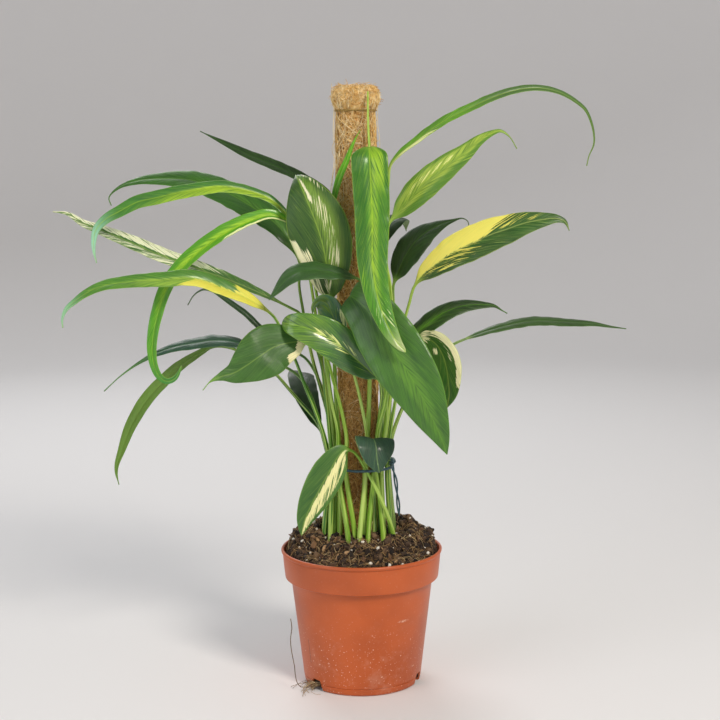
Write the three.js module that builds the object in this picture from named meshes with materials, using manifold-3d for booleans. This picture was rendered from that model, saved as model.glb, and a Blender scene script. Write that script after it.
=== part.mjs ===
// A potted Epipremnum amplissimum on a coir pole, in millimetres, +Z up.
// The origin is on the axis of the pot, on the surface that the pot stands on; +X is right and -Y is front.
import * as THREE from "three";
import { mergeVertices } from "three/addons/utils/BufferGeometryUtils.js";
import Module from "manifold-3d";

const wasm = await Module();
wasm.setup();

// Driving dimensions
const EYE_DISTANCE = 1350; // from the pot's axis to the point that the leaves' places are sighted from
const EYE_HEIGHT = 489;
const POT_RADIUS = 75; // a 15 cm nursery pot, over its rim
const POT_HEIGHT = 126.5;
const POT_FOOT_RADIUS = 54.4;
const POT_WALL = 1.6;
const BAND_HEIGHT = 26.5; // the collar under the rim
const NOTCH_ANGLES = [-50, 70, 190]; // drain notches in the foot, in degrees from the front
const NOTCH_HEIGHT = 10;
const SEAT_GAP = 0.3; // between pieces that touch
const SOIL_EDGE = 123.5; // height of the soil at the wall and in the middle of its mound
const SOIL_MOUND = 17;
const SOIL_HEAP = 13; // and of the ridge that hides the rim at the back and the sides
const POLE_X = -2; // the pole's axis
const COIR_RADIUS = 18;
const COIR_BOTTOM = 60;
const COIR_TOP = 551;
const COIR_TUFT = 3.4; // how far the loose top of the wrap flares out
const BINDING_HEIGHT = 528; // the thread that binds the top of the wrap
const CORE_RADIUS = 8;
const CORE_BOTTOM = 12;
const CORE_TOP = 520;
const ROOT_HEIGHT = 106; // where the stalks end in the soil
const COLLAR_HEIGHT = 138; // where they leave the soil
const TIE_HEIGHT = 206;
const BLADE_THICKNESS = 0.9;
const SIDES = 10; // points round a stalk and round a blade

const COLOURS = {
  pot: 0xc8693b,
  soil: 0x33261c,
  coir: 0xb98a52,
  thread: 0x8a7443,
  core: 0x9a7a50,
  tie: 0x3f6a72,
  dark: 0x2c5428,
  mid: 0x4a8034,
  bright: 0x7fb52c,
  light: 0x8fae5e,
};

const rad = THREE.MathUtils.degToRad;
const smooth = (a, b, x) => THREE.MathUtils.smoothstep(x, a, b);

// A point from its place in the upright plane through the pot's axis, as seen from the eye,
// u to the right and v up, slid along the sight line by d towards the eye.
function seen([u, v, d]) {
  const t = (EYE_DISTANCE - d) / EYE_DISTANCE;
  return new THREE.Vector3(u * t, -d, EYE_HEIGHT + (v - EYE_HEIGHT) * t);
}

// A point round the pole, from its angle from the front in degrees and its distance from the pole's axis.
function roundPole([angle, radius], z) {
  return new THREE.Vector3(
    POLE_X + radius * Math.sin(rad(angle)),
    -radius * Math.cos(rad(angle)),
    z,
  );
}

// The leaves. soil and tie give [angle, radius] round the pole where a stalk leaves the soil and passes
// the tie, low, stalk and blade give sighted points [u, v, d], and face is the way the blade's upper side
// looks at its base as [right, up, to the front]. fold lifts the two halves by that angle, turn twists the
// blade up to its tip, and waves is the number of waves along its margins.
const LEAVES = [
  {
    name: "leaf_left_01",
    soil: [-150, 22.5],
    tie: [-150, 21.5],
    stalk: [[-14, 240, -26], [-15, 300, -32], [-16, 360, -36], [-17, 410, -38]],
    blade: [[-20, 440, -40], [-27, 454, -43], [-50, 468, -52], [-81, 482, -66], [-100, 490, -75],
      [-120, 500, -85], [-142, 511, -98]],
    width: 13, widest: 0.45, taper: 1.1, face: [0.3, 0.5, 0.8], fold: 20, turn: 0, colour: "dark",
  },
  {
    name: "leaf_left_02",
    soil: [-106, 24],
    tie: [-106, 21.5],
    stalk: [[-26, 228, -8], [-30, 252, -14], [-36, 275, -19], [-42, 297, -22], [-48, 325, -24],
      [-52, 350, -27], [-55, 372, -29]],
    blade: [[-54, 390, -31], [-61, 408, -34], [-74, 426, -39], [-97, 443, -48], [-120, 456, -56],
      [-150, 467, -64], [-176, 469, -70], [-200, 467, -75], [-217, 461, -78], [-226, 452, -79],
      [-224, 445, -79]],
    width: 33, widest: 0.36, taper: 1.25, face: [0.5, 0.35, 0.8], fold: 12, turn: 0, colour: "mid",
  },
  {
    name: "leaf_left_03",
    soil: [-88, 24],
    tie: [-88, 21.5],
    stalk: [[-27, 235, 0], [-31, 262, -3], [-34, 290, -5], [-37, 320, -7], [-41, 350, -8], [-45, 378, -8]],
    blade: [[-49, 400, -8], [-58, 424, -9], [-70, 441, -9], [-81, 450, -8], [-100, 457, -6],
      [-123, 461, -2], [-150, 458, 3], [-168, 455, 6], [-186, 451, 8], [-200, 448, 10], [-216, 440, 12],
      [-229, 433, 14], [-238, 424, 15], [-241, 413, 15], [-241, 403, 15], [-239, 393, 15]],
    width: 15, widest: 0.6, taper: 0.9, face: [0.4, 0.8, 0.45], fold: 18, turn: -25, colour: "bright",
  },
  {
    name: "leaf_left_04",
    soil: [-70, 24.5],
    tie: [-70, 21.5],
    stalk: [[-25, 238, 7], [-28, 266, 6], [-31, 295, 4], [-34, 325, 3], [-38, 355, 3], [-43, 385, 5]],
    blade: [[-49, 408, 8], [-60, 426, 10], [-79, 435, 14], [-100, 430, 19], [-123, 419, 24], [-150, 400, 28],
      [-167, 383, 31], [-175, 371, 33], [-182, 354, 35], [-188, 332, 37], [-190, 318, 38], [-190, 306, 38],
      [-188, 296, 39], [-184, 288, 40], [-178, 284, 41], [-171, 286, 42], [-167, 291, 43], [-164, 298, 43]],
    width: 17, widest: 0.35, taper: 0.6, face: [0.3, 0.75, 0.6], fold: 36, turn: 0, colour: "bright",
  },
  {
    name: "leaf_left_05",
    soil: [-63, 30],
    tie: [-63, 27.5],
    stalk: [[-29, 238, 14], [-31, 262, 14], [-33, 285, 14], [-38, 308, 13], [-46, 330, 11], [-54, 345, 9]],
    blade: [[-62, 350, 7], [-90, 364, 3], [-120, 377, -1], [-150, 388, -4], [-180, 399, -7], [-200, 408, -8],
      [-216, 415, -9], [-235, 423, -10], [-250, 429, -10], [-264, 438, -10], [-277, 440, -10]],
    width: 20, widest: 0.55, taper: 0.9, face: [0.3, 0.7, 0.65], fold: 24, turn: 0, colour: "light",
  },
  {
    name: "leaf_left_06",
    soil: [-78, 33],
    tie: [-78, 27.8],
    stalk: [[-34, 232, 10], [-42, 256, 14], [-51, 279, 18], [-60, 304, 22], [-69, 322, 25]],
    blade: [[-78, 342, 28], [-100, 358, 36], [-122, 368, 42], [-151, 378, 50], [-179, 377, 56],
      [-203, 376, 60], [-234, 372, 64], [-250, 365, 65], [-260, 358, 66], [-268, 351, 67], [-272, 342, 67],
      [-272, 334, 67]],
    width: 19, widest: 0.3, taper: 0.7, face: [0.35, 0.65, 0.7], fold: 20, turn: 20, colour: "light",
  },
  {
    name: "leaf_left_07",
    soil: [-124, 24],
    tie: [-124, 21.5],
    stalk: [[-25, 232, -15], [-31, 258, -20], [-38, 284, -25], [-50, 304, -28]],
    blade: [[-62, 311, -30], [-79, 320, -32], [-91, 331, -34], [-105, 345, -36], [-122, 358, -38],
      [-133, 366, -40], [-141, 368, -41], [-147, 366, -42], [-152, 362, -42], [-157, 354, -42]],
    width: 10, widest: 0.4, taper: 1.1, face: [0.45, 0.75, 0.5], fold: 30, turn: 0, colour: "dark",
  },
  {
    name: "leaf_left_08",
    soil: [-92, 33],
    tie: [-92, 28],
    stalk: [[-35, 232, -2], [-41, 256, -3], [-48, 276, -3], [-58, 289, -2], [-70, 297, 0]],
    blade: [[-84, 306, 3], [-100, 314, 6], [-113, 319, 8], [-125, 321, 10], [-137, 321, 12], [-150, 319, 13],
      [-168, 316, 15], [-186, 310, 16], [-200, 303, 17], [-211, 296, 18], [-223, 287, 19], [-236, 275, 20]],
    width: 19, widest: 0.3, taper: 2.2, face: [0.3, 0.85, 0.42], fold: 8, turn: 0, colour: "dark",
  },
  {
    name: "leaf_left_09",
    soil: [-106, 33],
    tie: [-106, 28],
    stalk: [[-34, 230, -10], [-41, 246, -13], [-56, 264, -15], [-66, 276, -16], [-76, 288, -17],
      [-88, 299, -17], [-104, 308, -17]],
    blade: [[-122, 315, -16], [-137, 315, -15], [-145, 311, -14], [-155, 305, -13], [-167, 297, -12],
      [-180, 285, -11], [-192, 273, -10], [-200, 263, -9], [-213, 241, -7], [-222, 218, -6], [-226, 207, -5],
      [-227, 198, -5], [-225, 187, -5]],
    width: 14, widest: 0.5, taper: 1, face: [-0.35, 0.45, -0.8], fold: 14, turn: 0, colour: "light",
  },
  {
    name: "leaf_left_10",
    soil: [-8, 25],
    tie: [-26, 27.5],
    stalk: [[-13, 228, 27], [-16, 248, 30], [-20, 266, 32], [-25, 284, 33], [-29, 300, 34], [-35, 312, 36]],
    blade: [[-44, 319, 38], [-61, 319, 43], [-78, 315, 50], [-91, 307, 58], [-104, 298, 62], [-116, 291, 65],
      [-127, 288, 68], [-138, 283, 71], [-145, 275, 72]],
    width: 46, widest: 0.4, taper: 2.3, face: [0.1, 0.4, 0.9], fold: 10, turn: 0,
    colour: "mid", waves: 3.5,
  },
  {
    name: "leaf_left_11",
    soil: [-122, 33],
    tie: [-122, 28],
    stalk: [[-31, 222, -19]],
    blade: [[-35, 232, -22], [-42, 248, -30], [-48, 264, -41], [-52, 277, -56], [-54, 287, -75],
      [-53, 291, -97], [-51, 287, -119], [-49, 278, -138]],
    width: 28, widest: 0.45, taper: 1.1, face: [0.45, 0.4, 0.8], fold: 10, turn: 0, colour: "dark",
  },
  {
    name: "leaf_front_01",
    soil: [-20, 29],
    tie: [-44, 27.5],
    stalk: [[-21, 236, 22], [-26, 262, 22], [-29, 285, 22], [-30, 310, 22], [-29, 335, 24]],
    blade: [[-27, 352, 28], [-28, 372, 31], [-30, 392, 34], [-34, 412, 36], [-40, 431, 36], [-47, 449, 33],
      [-52, 461, 27], [-55, 468, 18], [-57, 471, 8]],
    width: 56, widest: 0.52, taper: 1.15, face: [-0.1, 0.2, 0.95], fold: 10, turn: 0,
    colour: "mid", waves: 2,
  },
  {
    name: "leaf_front_02",
    soil: [58, 22.5],
    tie: [58, 21.5],
    stalk: [[19, 235, 14], [20, 262, 16], [18, 295, 20], [17, 325, 24], [14, 350, 31], [8, 367, 38]],
    blade: [[0, 376, 41], [-12, 380, 46], [-27, 383, 50], [-41, 385, 53], [-56, 383, 55], [-66, 377, 56],
      [-75, 367, 57], [-83, 358, 58]],
    width: 24, widest: 0.55, taper: 0.9, face: [0.3, 0.75, 0.6], fold: 12, turn: 15, colour: "mid",
    waves: 1.5,
  },
  {
    name: "leaf_front_03",
    soil: [40, 22],
    tie: [40, 21.5],
    stalk: [[15, 232, 20], [18, 255, 26], [20, 272, 34]],
    blade: [[18, 282, 41], [8, 292, 46], [-6, 305, 50], [-20, 317, 52], [-36, 327, 53], [-52, 333, 53],
      [-64, 336, 50], [-71, 337, 42]],
    width: 35, widest: 0.45, taper: 0.5, face: [0.1, 0.3, 0.95], fold: 20, turn: 0, colour: "bright",
    waves: 2,
  },
  {
    name: "leaf_front_04",
    soil: [0, 31],
    tie: [14, 27.5],
    stalk: [[6, 229, 28], [0, 265, 30], [-6, 290, 31]],
    blade: [[-12, 308, 31], [-18, 325, 31], [-24, 342, 33], [-30, 354, 36], [-37, 357, 41], [-42, 352, 43],
      [-43, 345, 43]],
    width: 22, widest: 0.55, taper: 0.8, face: [-0.3, 0.4, 0.9], fold: 12, turn: 0, colour: "mid",
  },
  {
    name: "leaf_front_05",
    soil: [51, 29],
    tie: [50, 27.5],
    stalk: [[21, 228, 21], [24, 250, 25], [23, 275, 28], [18, 300, 31], [12, 320, 33]],
    blade: [[3, 340, 35], [-6, 354, 40], [-9, 361, 48], [-1, 356, 59], [10, 344, 66], [22, 325, 74],
      [38, 300, 81], [53, 275, 87], [65, 250, 91], [74, 230, 93], [80, 213, 94]],
    width: 53, widest: 0.5, taper: 0.85, face: [-0.2, -0.6, -0.75], fold: 10, turn: 0,
    colour: "mid", waves: 2,
  },
  {
    name: "leaf_front_06",
    soil: [16, 28],
    tie: [32, 27.5],
    stalk: [[17, 240, 27], [23, 262, 33], [26, 285, 42], [24, 320, 45], [19, 360, 43], [14, 400, 44],
      [12, 440, 42], [11, 470, 38]],
    blade: [[10, 488, 39], [10, 495, 46], [10, 488, 55], [11, 465, 60], [12, 440, 64], [12, 415, 68],
      [12, 395, 72], [14, 375, 77], [18, 355, 82], [25, 335, 87], [34, 318, 91], [42, 309, 93]],
    width: 33, widest: 0.13, taper: 0.55, face: [0, -0.4, -0.9], fold: 16, turn: 0,
    colour: "bright", waves: 2,
  },
  {
    name: "leaf_front_07",
    soil: [-52, 23],
    tie: [-52, 21.5],
    stalk: [[-21, 240, 16], [-23, 280, 17], [-24, 330, 17], [-26, 380, 16], [-27, 412, 17]],
    blade: [[-26, 430, 18], [-23, 446, 20], [-20, 460, 21], [-16, 472, 22], [-11, 483, 23], [-4, 500, 23],
      [2, 511, 23]],
    width: 6.5, widest: 0.45, taper: 1.1, face: [0.2, 0.2, 0.95], fold: 20, turn: 0, colour: "bright",
  },
  {
    name: "leaf_right_01",
    soil: [130, 22.5],
    tie: [130, 21.5],
    stalk: [[19, 250, -14], [22, 320, -13], [24, 390, -12], [25, 440, -10]],
    blade: [[27, 464, -8], [29, 479, -8], [38, 490, -9], [50, 499, -11], [65, 510, -13], [81, 520, -15],
      [100, 529, -18], [120, 538, -22], [135, 543, -25], [150, 546, -28], [166, 546, -31], [182, 542, -34],
      [196, 534, -36], [204, 527, -37], [209, 517, -38], [212, 505, -39], [212, 496, -39], [208, 486, -40],
      [206, 477, -40]],
    width: 11, widest: 0.3, taper: 0.8, face: [-0.4, 0.7, 0.6], fold: 24, turn: 0, colour: "mid",
  },
  {
    name: "leaf_right_02",
    soil: [75, 22.5],
    tie: [75, 21.5],
    stalk: [[21, 240, 8], [24, 280, 11], [27, 320, 14], [29, 350, 16], [28, 372, 18], [25, 388, 19],
      [24, 402, 20], [25, 416, 21]],
    blade: [[27, 426, 22], [39, 440, 24], [51, 453, 26], [64, 465, 28], [80, 478, 30], [96, 490, 32],
      [109, 501, 33], [120, 507, 34], [128, 509, 34], [136, 504, 34], [143, 493, 34]],
    width: 27, widest: 0.3, taper: 1.9, face: [-0.3, 0.3, 0.9], fold: 12, turn: 0, colour: "light",
  },
  {
    name: "leaf_right_03",
    soil: [101, 33],
    tie: [101, 28],
    stalk: [[26, 240, -11], [29, 290, -15], [31, 330, -14], [31, 355, -11]],
    blade: [[31, 370, -9], [36, 384, -10], [42, 397, -13], [51, 410, -18], [60, 418, -24], [73, 425, -31],
      [85, 429, -38], [94, 431, -43], [99, 428, -46], [100, 422, -47]],
    width: 29, widest: 0.35, taper: 2.6, face: [-0.45, 0.2, 0.85], fold: 10, turn: 0, colour: "dark",
  },
  {
    name: "leaf_right_04",
    soil: [92, 22.5],
    tie: [92, 21.5],
    stalk: [[24, 240, 2], [29, 280, 4], [35, 315, 6], [42, 342, 8], [46, 356, 9]],
    blade: [[49, 367, 10], [57, 379, 12], [72, 391, 15], [87, 401, 17], [104, 409, 19], [120, 416, 21],
      [135, 421, 22], [150, 426, 23], [166, 429, 24], [179, 430, 24], [187, 427, 24], [191, 419, 24]],
    width: 34, widest: 0.42, taper: 1.1, face: [-0.3, 0.55, 0.78], fold: 12, turn: 0, colour: "light",
  },
  {
    name: "leaf_right_05",
    soil: [109, 22.5],
    tie: [109, 21.5],
    stalk: [[22, 235, -8], [27, 262, -5], [33, 288, -3]],
    blade: [[40, 308, -4], [48, 321, -6], [55, 329, -8], [65, 337, -10], [75, 344, -12], [84, 348, -14],
      [94, 351, -16], [104, 352, -18], [114, 352, -20], [123, 351, -22], [130, 347, -23], [135, 344, -24]],
    width: 21, widest: 0.35, taper: 1.3, face: [-0.35, 0.55, 0.75], fold: 10, turn: 0, colour: "dark",
  },
  {
    name: "leaf_right_06",
    soil: [84, 32],
    tie: [84, 28],
    stalk: [[29, 230, 4], [41, 262, 8], [52, 282, 9], [64, 299, 8], [76, 310, 5]],
    blade: [[88, 317, 2], [100, 322, -2], [114, 327, -6], [128, 331, -10], [151, 336, -17], [167, 337, -22],
      [183, 336, -27], [198, 335, -32], [214, 334, -37], [230, 331, -42], [244, 329, -46]],
    width: 17, widest: 0.5, taper: 1.1, face: [0, 0.9, 0.4], fold: 8, turn: 0, colour: "dark",
  },
  {
    name: "leaf_right_07",
    soil: [70, 31],
    tie: [68, 28],
    stalk: [[27, 232, 14], [32, 262, 20], [38, 290, 26], [44, 310, 31]],
    blade: [[50, 321, 35], [60, 322, 39], [69, 317, 44], [75, 308, 48], [79, 296, 51], [81, 283, 53],
      [82, 270, 54], [80, 257, 55]],
    width: 29, widest: 0.5, taper: 0.8, face: [0, 0.4, 0.9], fold: 12, turn: 0, colour: "mid", waves: 1.5,
  },
  {
    name: "leaf_right_08",
    soil: [155, 22.5],
    tie: [155, 21.5],
    stalk: [[10, 260, -25], [14, 330, -30], [16, 380, -34]],
    blade: [[18, 400, -38], [22, 416, -44], [28, 427, -53], [34, 432, -63], [39, 431, -75], [42, 426, -87],
      [43, 420, -95]],
    width: 24, widest: 0.45, taper: 1.2, face: [-0.3, 0.3, 0.9], fold: 12, turn: 0, colour: "dark",
  },
  {
    name: "leaf_low_01",
    soil: [62, 36],
    low: [[18, 172, 34]],
    tie: [11, 35.5],
    stalk: [[-3, 212, 37]],
    blade: [[-8, 217, 39], [-15, 218, 42], [-21, 212, 45], [-28, 200, 48], [-38, 182, 51], [-47, 165, 52],
      [-53, 151, 52], [-56, 137, 51]],
    width: 32, widest: 0.4, taper: 0.8, face: [-0.2, 0.5, 0.85], fold: 10, turn: 0, colour: "mid",
  },
  {
    name: "leaf_low_02",
    soil: [42, 33],
    tie: [28, 33],
    stalk: [[11, 214, 31]],
    blade: [[10, 221, 33], [10, 227, 38], [12, 228, 44], [14, 221, 50], [15, 209, 54], [17, 196, 56]],
    width: 38, widest: 0.4, taper: 0.8, face: [0, -0.4, -0.9], fold: 14, turn: 0, colour: "dark",
  },
];

// The rolled young leaf stands straight up before the pole.
const SPEAR = {
  name: "new_leaf_spear",
  soil: [14, 21.5],
  tie: [16, 21.5],
  stalk: [[7, 240, 22], [9, 300, 24], [8, 380, 25], [9, 440, 24]],
  blade: [[10, 480, 24], [10, 493, 24], [9, 518, 24], [9, 545, 24]],
  width: 3.4, widest: 0.2, taper: 0.6, face: [0, 0, 1], fold: 0, turn: 0, colour: "bright", rolled: true,
};

const STALK_FOOT = 2.4; // radius of a stalk in the soil
const STALK_NECK = 1.3; // and where the blade begins
const TIP_HALF_WIDTH = 0.5;
const ROUTE_STEPS = 24; // fine steps to each stretch of a route
const STALK_FRAMES = 24; // frames along a stalk and a blade, of which every EVERY-th makes a ring
const BLADE_FRAMES = 48;
const EVERY = 4;

// Frames at equal steps between two lengths along a fine polyline: place, direction, upper side, left side.
function placeFrames(fine, lengths, from, to, count) {
  const frames = [];
  let k = 0;
  for (let i = 0; i <= count; i++) {
    const want = from + ((to - from) * i) / count;
    while (k < lengths.length - 2 && lengths[k + 1] < want) k++;
    const share = (want - lengths[k]) / (lengths[k + 1] - lengths[k]);
    frames.push({
      at: fine[k].clone().lerp(fine[k + 1], Math.min(1, share)),
      along: fine[Math.min(k + 2, fine.length - 1)].clone().sub(fine[Math.max(k - 1, 0)]).normalize(),
    });
  }
  return frames;
}

// The upper side of each frame is carried along with no roll from the blade's base, both ways.
function carryFace(frames, start, face) {
  const flatten = (v, along) => v.clone().addScaledVector(along, -v.dot(along)).normalize();
  frames[start].up = flatten(face, frames[start].along);
  for (let i = start + 1; i < frames.length; i++) frames[i].up = flatten(frames[i - 1].up, frames[i].along);
  for (let i = start - 1; i >= 0; i--) frames[i].up = flatten(frames[i + 1].up, frames[i].along);
}

function leafFrames(leaf) {
  const stem = [
    roundPole(leaf.soil, ROOT_HEIGHT),
    roundPole(leaf.soil, COLLAR_HEIGHT),
    ...(leaf.low ?? []).map(seen),
    roundPole(leaf.tie, TIE_HEIGHT),
    ...leaf.stalk.map(seen),
  ];
  const points = [...stem, ...leaf.blade.map(seen)];
  const curve = new THREE.CatmullRomCurve3(points, false, "centripetal");
  const fine = curve.getPoints((points.length - 1) * ROUTE_STEPS);
  const lengths = [0];
  for (let i = 1; i < fine.length; i++) lengths.push(lengths[i - 1] + fine[i].distanceTo(fine[i - 1]));
  const base = lengths[stem.length * ROUTE_STEPS];
  const frames = [
    ...placeFrames(fine, lengths, 0, base, STALK_FRAMES).slice(0, -1),
    ...placeFrames(fine, lengths, base, lengths.at(-1), BLADE_FRAMES),
  ];
  const [right, up, front] = leaf.face;
  carryFace(frames, STALK_FRAMES, new THREE.Vector3(right, -front, up));
  frames.forEach((frame, i) => {
    frame.s = Math.max(0, (i - STALK_FRAMES) / BLADE_FRAMES);
    frame.stalk = Math.min(1, i / STALK_FRAMES);
    frame.up.applyAxisAngle(frame.along, rad(leaf.turn) * frame.s);
    frame.left = new THREE.Vector3().crossVectors(frame.up, frame.along);
  });
  return frames;
}

// Half the blade's width at a share s of its length.
function halfWidth(leaf, s) {
  const rise = Math.sin((Math.PI / 2) * Math.min(1, s / leaf.widest)) ** 0.8;
  const fall = Math.cos(((Math.PI / 2) * Math.max(0, s - leaf.widest)) / (1 - leaf.widest));
  const shape = s < leaf.widest ? rise : Math.max(0, fall) ** leaf.taper;
  return Math.max((leaf.width / 2) * shape, s < leaf.widest ? STALK_NECK : TIP_HALF_WIDTH);
}

// One ring of SIDES points: a circle on the stalk, which opens out to a folded blade with a rib beneath.
function ringAt(leaf, frame, grow) {
  const half = SIDES / 2;
  const radius = THREE.MathUtils.lerp(STALK_FOOT, STALK_NECK, smooth(0.1, 1, frame.stalk)) + grow;
  const open = leaf.rolled ? 0 : smooth(0, 0.12, frame.s);
  const wide = halfWidth(leaf, frame.s);
  const lift = rad(leaf.fold) * (1 - 0.3 * frame.s);
  const wave = Math.sin(2 * Math.PI * (leaf.waves ?? 0) * frame.s) * smooth(0, 0.2, frame.s) * (1 - frame.s);
  const roundRadius = leaf.rolled && frame.s > 0 ? THREE.MathUtils.lerp(radius, 0.7, frame.s) : radius;
  const points = [];
  for (let k = 0; k < SIDES; k++) {
    const top = k < half;
    const across = ((top ? k : SIDES - 1 - k) / (half - 1)) * 2 - 1;
    const reach = Math.abs(across);
    const bladeX = across * wide * Math.cos(lift);
    const bladeN = wide * (reach * Math.sin(lift) - 0.16 * reach ** 2 + 0.09 * wave * reach ** 2);
    const rib = reach < 0.1 ? 0.5 * (1 - frame.s) : 0;
    const skin = (BLADE_THICKNESS / 2) * (reach < 0.1 ? 1 / Math.cos(lift) : 1);
    const lean = reach < 0.1 ? 0 : Math.sign(across) * Math.sin(lift);
    const sign = top ? 1 : -1;
    const x = bladeX - sign * skin * lean;
    const n = bladeN + sign * skin - (top ? 0 : rib);
    const angle = Math.PI - ((k + 0.5) * 2 * Math.PI) / SIDES;
    points.push(
      frame.at
        .clone()
        .addScaledVector(frame.left, THREE.MathUtils.lerp(roundRadius * Math.cos(angle), x, open))
        .addScaledVector(frame.up, THREE.MathUtils.lerp(roundRadius * Math.sin(angle), n, open)),
    );
  }
  return points;
}

// A closed skin over rings of equal counts, with a fan at either end.
function skinOver(rings) {
  const sides = rings[0].length;
  const middle = (ring) => ring.reduce((sum, p) => sum.add(p), new THREE.Vector3()).divideScalar(sides);
  const points = [...rings.flat(), middle(rings[0]), middle(rings.at(-1))];
  const faces = [];
  const last = (rings.length - 1) * sides;
  for (let k = 0; k < sides; k++) {
    const next = (k + 1) % sides;
    for (let i = 0; i < rings.length - 1; i++) {
      const [a, b] = [i * sides + k, i * sides + next];
      const [c, d] = [a + sides, b + sides];
      // the diagonals on the lower face run as those on the upper one do
      if (k < sides / 2) faces.push(a, d, b, a, c, d);
      else faces.push(a, c, b, b, c, d);
    }
    faces.push(points.length - 2, k, next);
    faces.push(points.length - 1, last + next, last + k);
  }
  const geometry = new THREE.BufferGeometry().setFromPoints(points);
  geometry.setIndex(faces);
  return geometry;
}

function leafGeometry(leaf) {
  const rings = leafFrames(leaf).filter((_, i) => i % EVERY === 0);
  return skinOver(rings.map((frame) => ringAt(leaf, frame, 0)));
}

// The hole that a stalk stands in: the stalk's own foot, a little larger.
function holeGeometry(leaf) {
  const rings = leafFrames(leaf).filter((frame, i) => i % EVERY === 0 && frame.at.z < COLLAR_HEIGHT + 40);
  rings[0].at.z -= SEAT_GAP;
  return skinOver(rings.map((frame) => ringAt(leaf, frame, SEAT_GAP + 0.1)));
}

// Closed three.js geometry to and from a solid that can be cut and joined.
function solidOf(geometry) {
  const bare = geometry.clone();
  bare.deleteAttribute("normal");
  bare.deleteAttribute("uv");
  const merged = mergeVertices(bare, 1e-4);
  return new wasm.Manifold(
    new wasm.Mesh({
      numProp: 3,
      vertProperties: merged.attributes.position.array,
      triVerts: new Uint32Array(merged.index.array),
    }),
  );
}

function geometryOf(solid) {
  const mesh = solid.getMesh();
  const geometry = new THREE.BufferGeometry();
  geometry.setAttribute("position", new THREE.BufferAttribute(mesh.vertProperties, 3));
  geometry.setIndex(new THREE.BufferAttribute(mesh.triVerts, 1));
  return geometry;
}

// A body turned round the Z axis from an outline of [radius, height] points.
function turned(outline, segments) {
  const profile = outline.map(([r, z]) => new THREE.Vector2(r, z));
  return new THREE.LatheGeometry(profile, segments).rotateX(Math.PI / 2);
}

// Inner radius of the pot's wall at a height
const FOOT_INSIDE = POT_FOOT_RADIUS - POT_WALL;
const BAND_BOTTOM = POT_HEIGHT - BAND_HEIGHT;
const WALL_TOP_RADIUS = 66;
const BAND_FOOT_RADIUS = 71.5;
const insideRadius = (z) =>
  z < BAND_BOTTOM
    ? THREE.MathUtils.mapLinear(z, 0, BAND_BOTTOM, FOOT_INSIDE, WALL_TOP_RADIUS - POT_WALL)
    : THREE.MathUtils.mapLinear(z, BAND_BOTTOM, POT_HEIGHT, BAND_FOOT_RADIUS - POT_WALL, POT_RADIUS - 2.6);

function potGeometry() {
  const outline = [
    [0, 0],
    [POT_FOOT_RADIUS - 2, 0],
    [POT_FOOT_RADIUS - 0.6, 0.5],
    [POT_FOOT_RADIUS, 1.8],
    [WALL_TOP_RADIUS, BAND_BOTTOM - 1.6],
    [BAND_FOOT_RADIUS - 0.9, BAND_BOTTOM - 0.8],
    [BAND_FOOT_RADIUS, BAND_BOTTOM + 0.6],
    [POT_RADIUS - 1.3, POT_HEIGHT - 4.6],
    [POT_RADIUS - 1.3, POT_HEIGHT - 3.6],
    [POT_RADIUS - 0.2, POT_HEIGHT - 2.8],
    [POT_RADIUS, POT_HEIGHT - 1.6],
    [POT_RADIUS - 0.5, POT_HEIGHT - 0.4],
    [POT_RADIUS - 1.4, POT_HEIGHT],
    [POT_RADIUS - 2.6, POT_HEIGHT - 0.3],
    [insideRadius(BAND_BOTTOM + 3), BAND_BOTTOM + 3],
    [insideRadius(BAND_BOTTOM - 3), BAND_BOTTOM],
    [insideRadius(2.6), 2.6],
    [FOOT_INSIDE - 1, 2],
    [0, 2],
  ];
  let pot = solidOf(turned(outline, 36));
  for (const angle of NOTCH_ANGLES) {
    const notch = new THREE.Shape([
      new THREE.Vector2(-7.5, -1),
      new THREE.Vector2(7.5, -1),
      new THREE.Vector2(5, NOTCH_HEIGHT),
      new THREE.Vector2(-5, NOTCH_HEIGHT),
    ]);
    const cutter = new THREE.ExtrudeGeometry(notch, { depth: 14, bevelEnabled: false });
    cutter.rotateX(Math.PI / 2);
    cutter.translate(0, -POT_FOOT_RADIUS + 8, 0);
    cutter.rotateZ(rad(angle));
    pot = pot.subtract(solidOf(cutter));
  }
  return geometryOf(pot);
}

// Height of the soil at a distance and angle from the pot's axis: a mound with lumps.
function soilHeight(r, angle) {
  const mound = SOIL_MOUND * (1 - smooth(20, 71, r));
  const lumps =
    2 * Math.sin(5 * angle + 0.12 * r) * Math.sin(0.19 * r + 1) + 1.2 * Math.sin(8 * angle - 0.2 * r + 2);
  const rightBack = 5 * Math.exp(-(((r - 42) / 16) ** 2)) * Math.max(0, Math.cos(angle - rad(40)));
  const ridge = smooth(34, 47, r) * (1 - smooth(65.5, 71, r)) * smooth(-0.7, 0.1, Math.sin(angle));
  const rough = (lumps + rightBack) * smooth(8, 24, r) * (1 - smooth(66, 71, r) * 0.6);
  return SOIL_EDGE + mound + SOIL_HEAP * ridge + rough;
}

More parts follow.
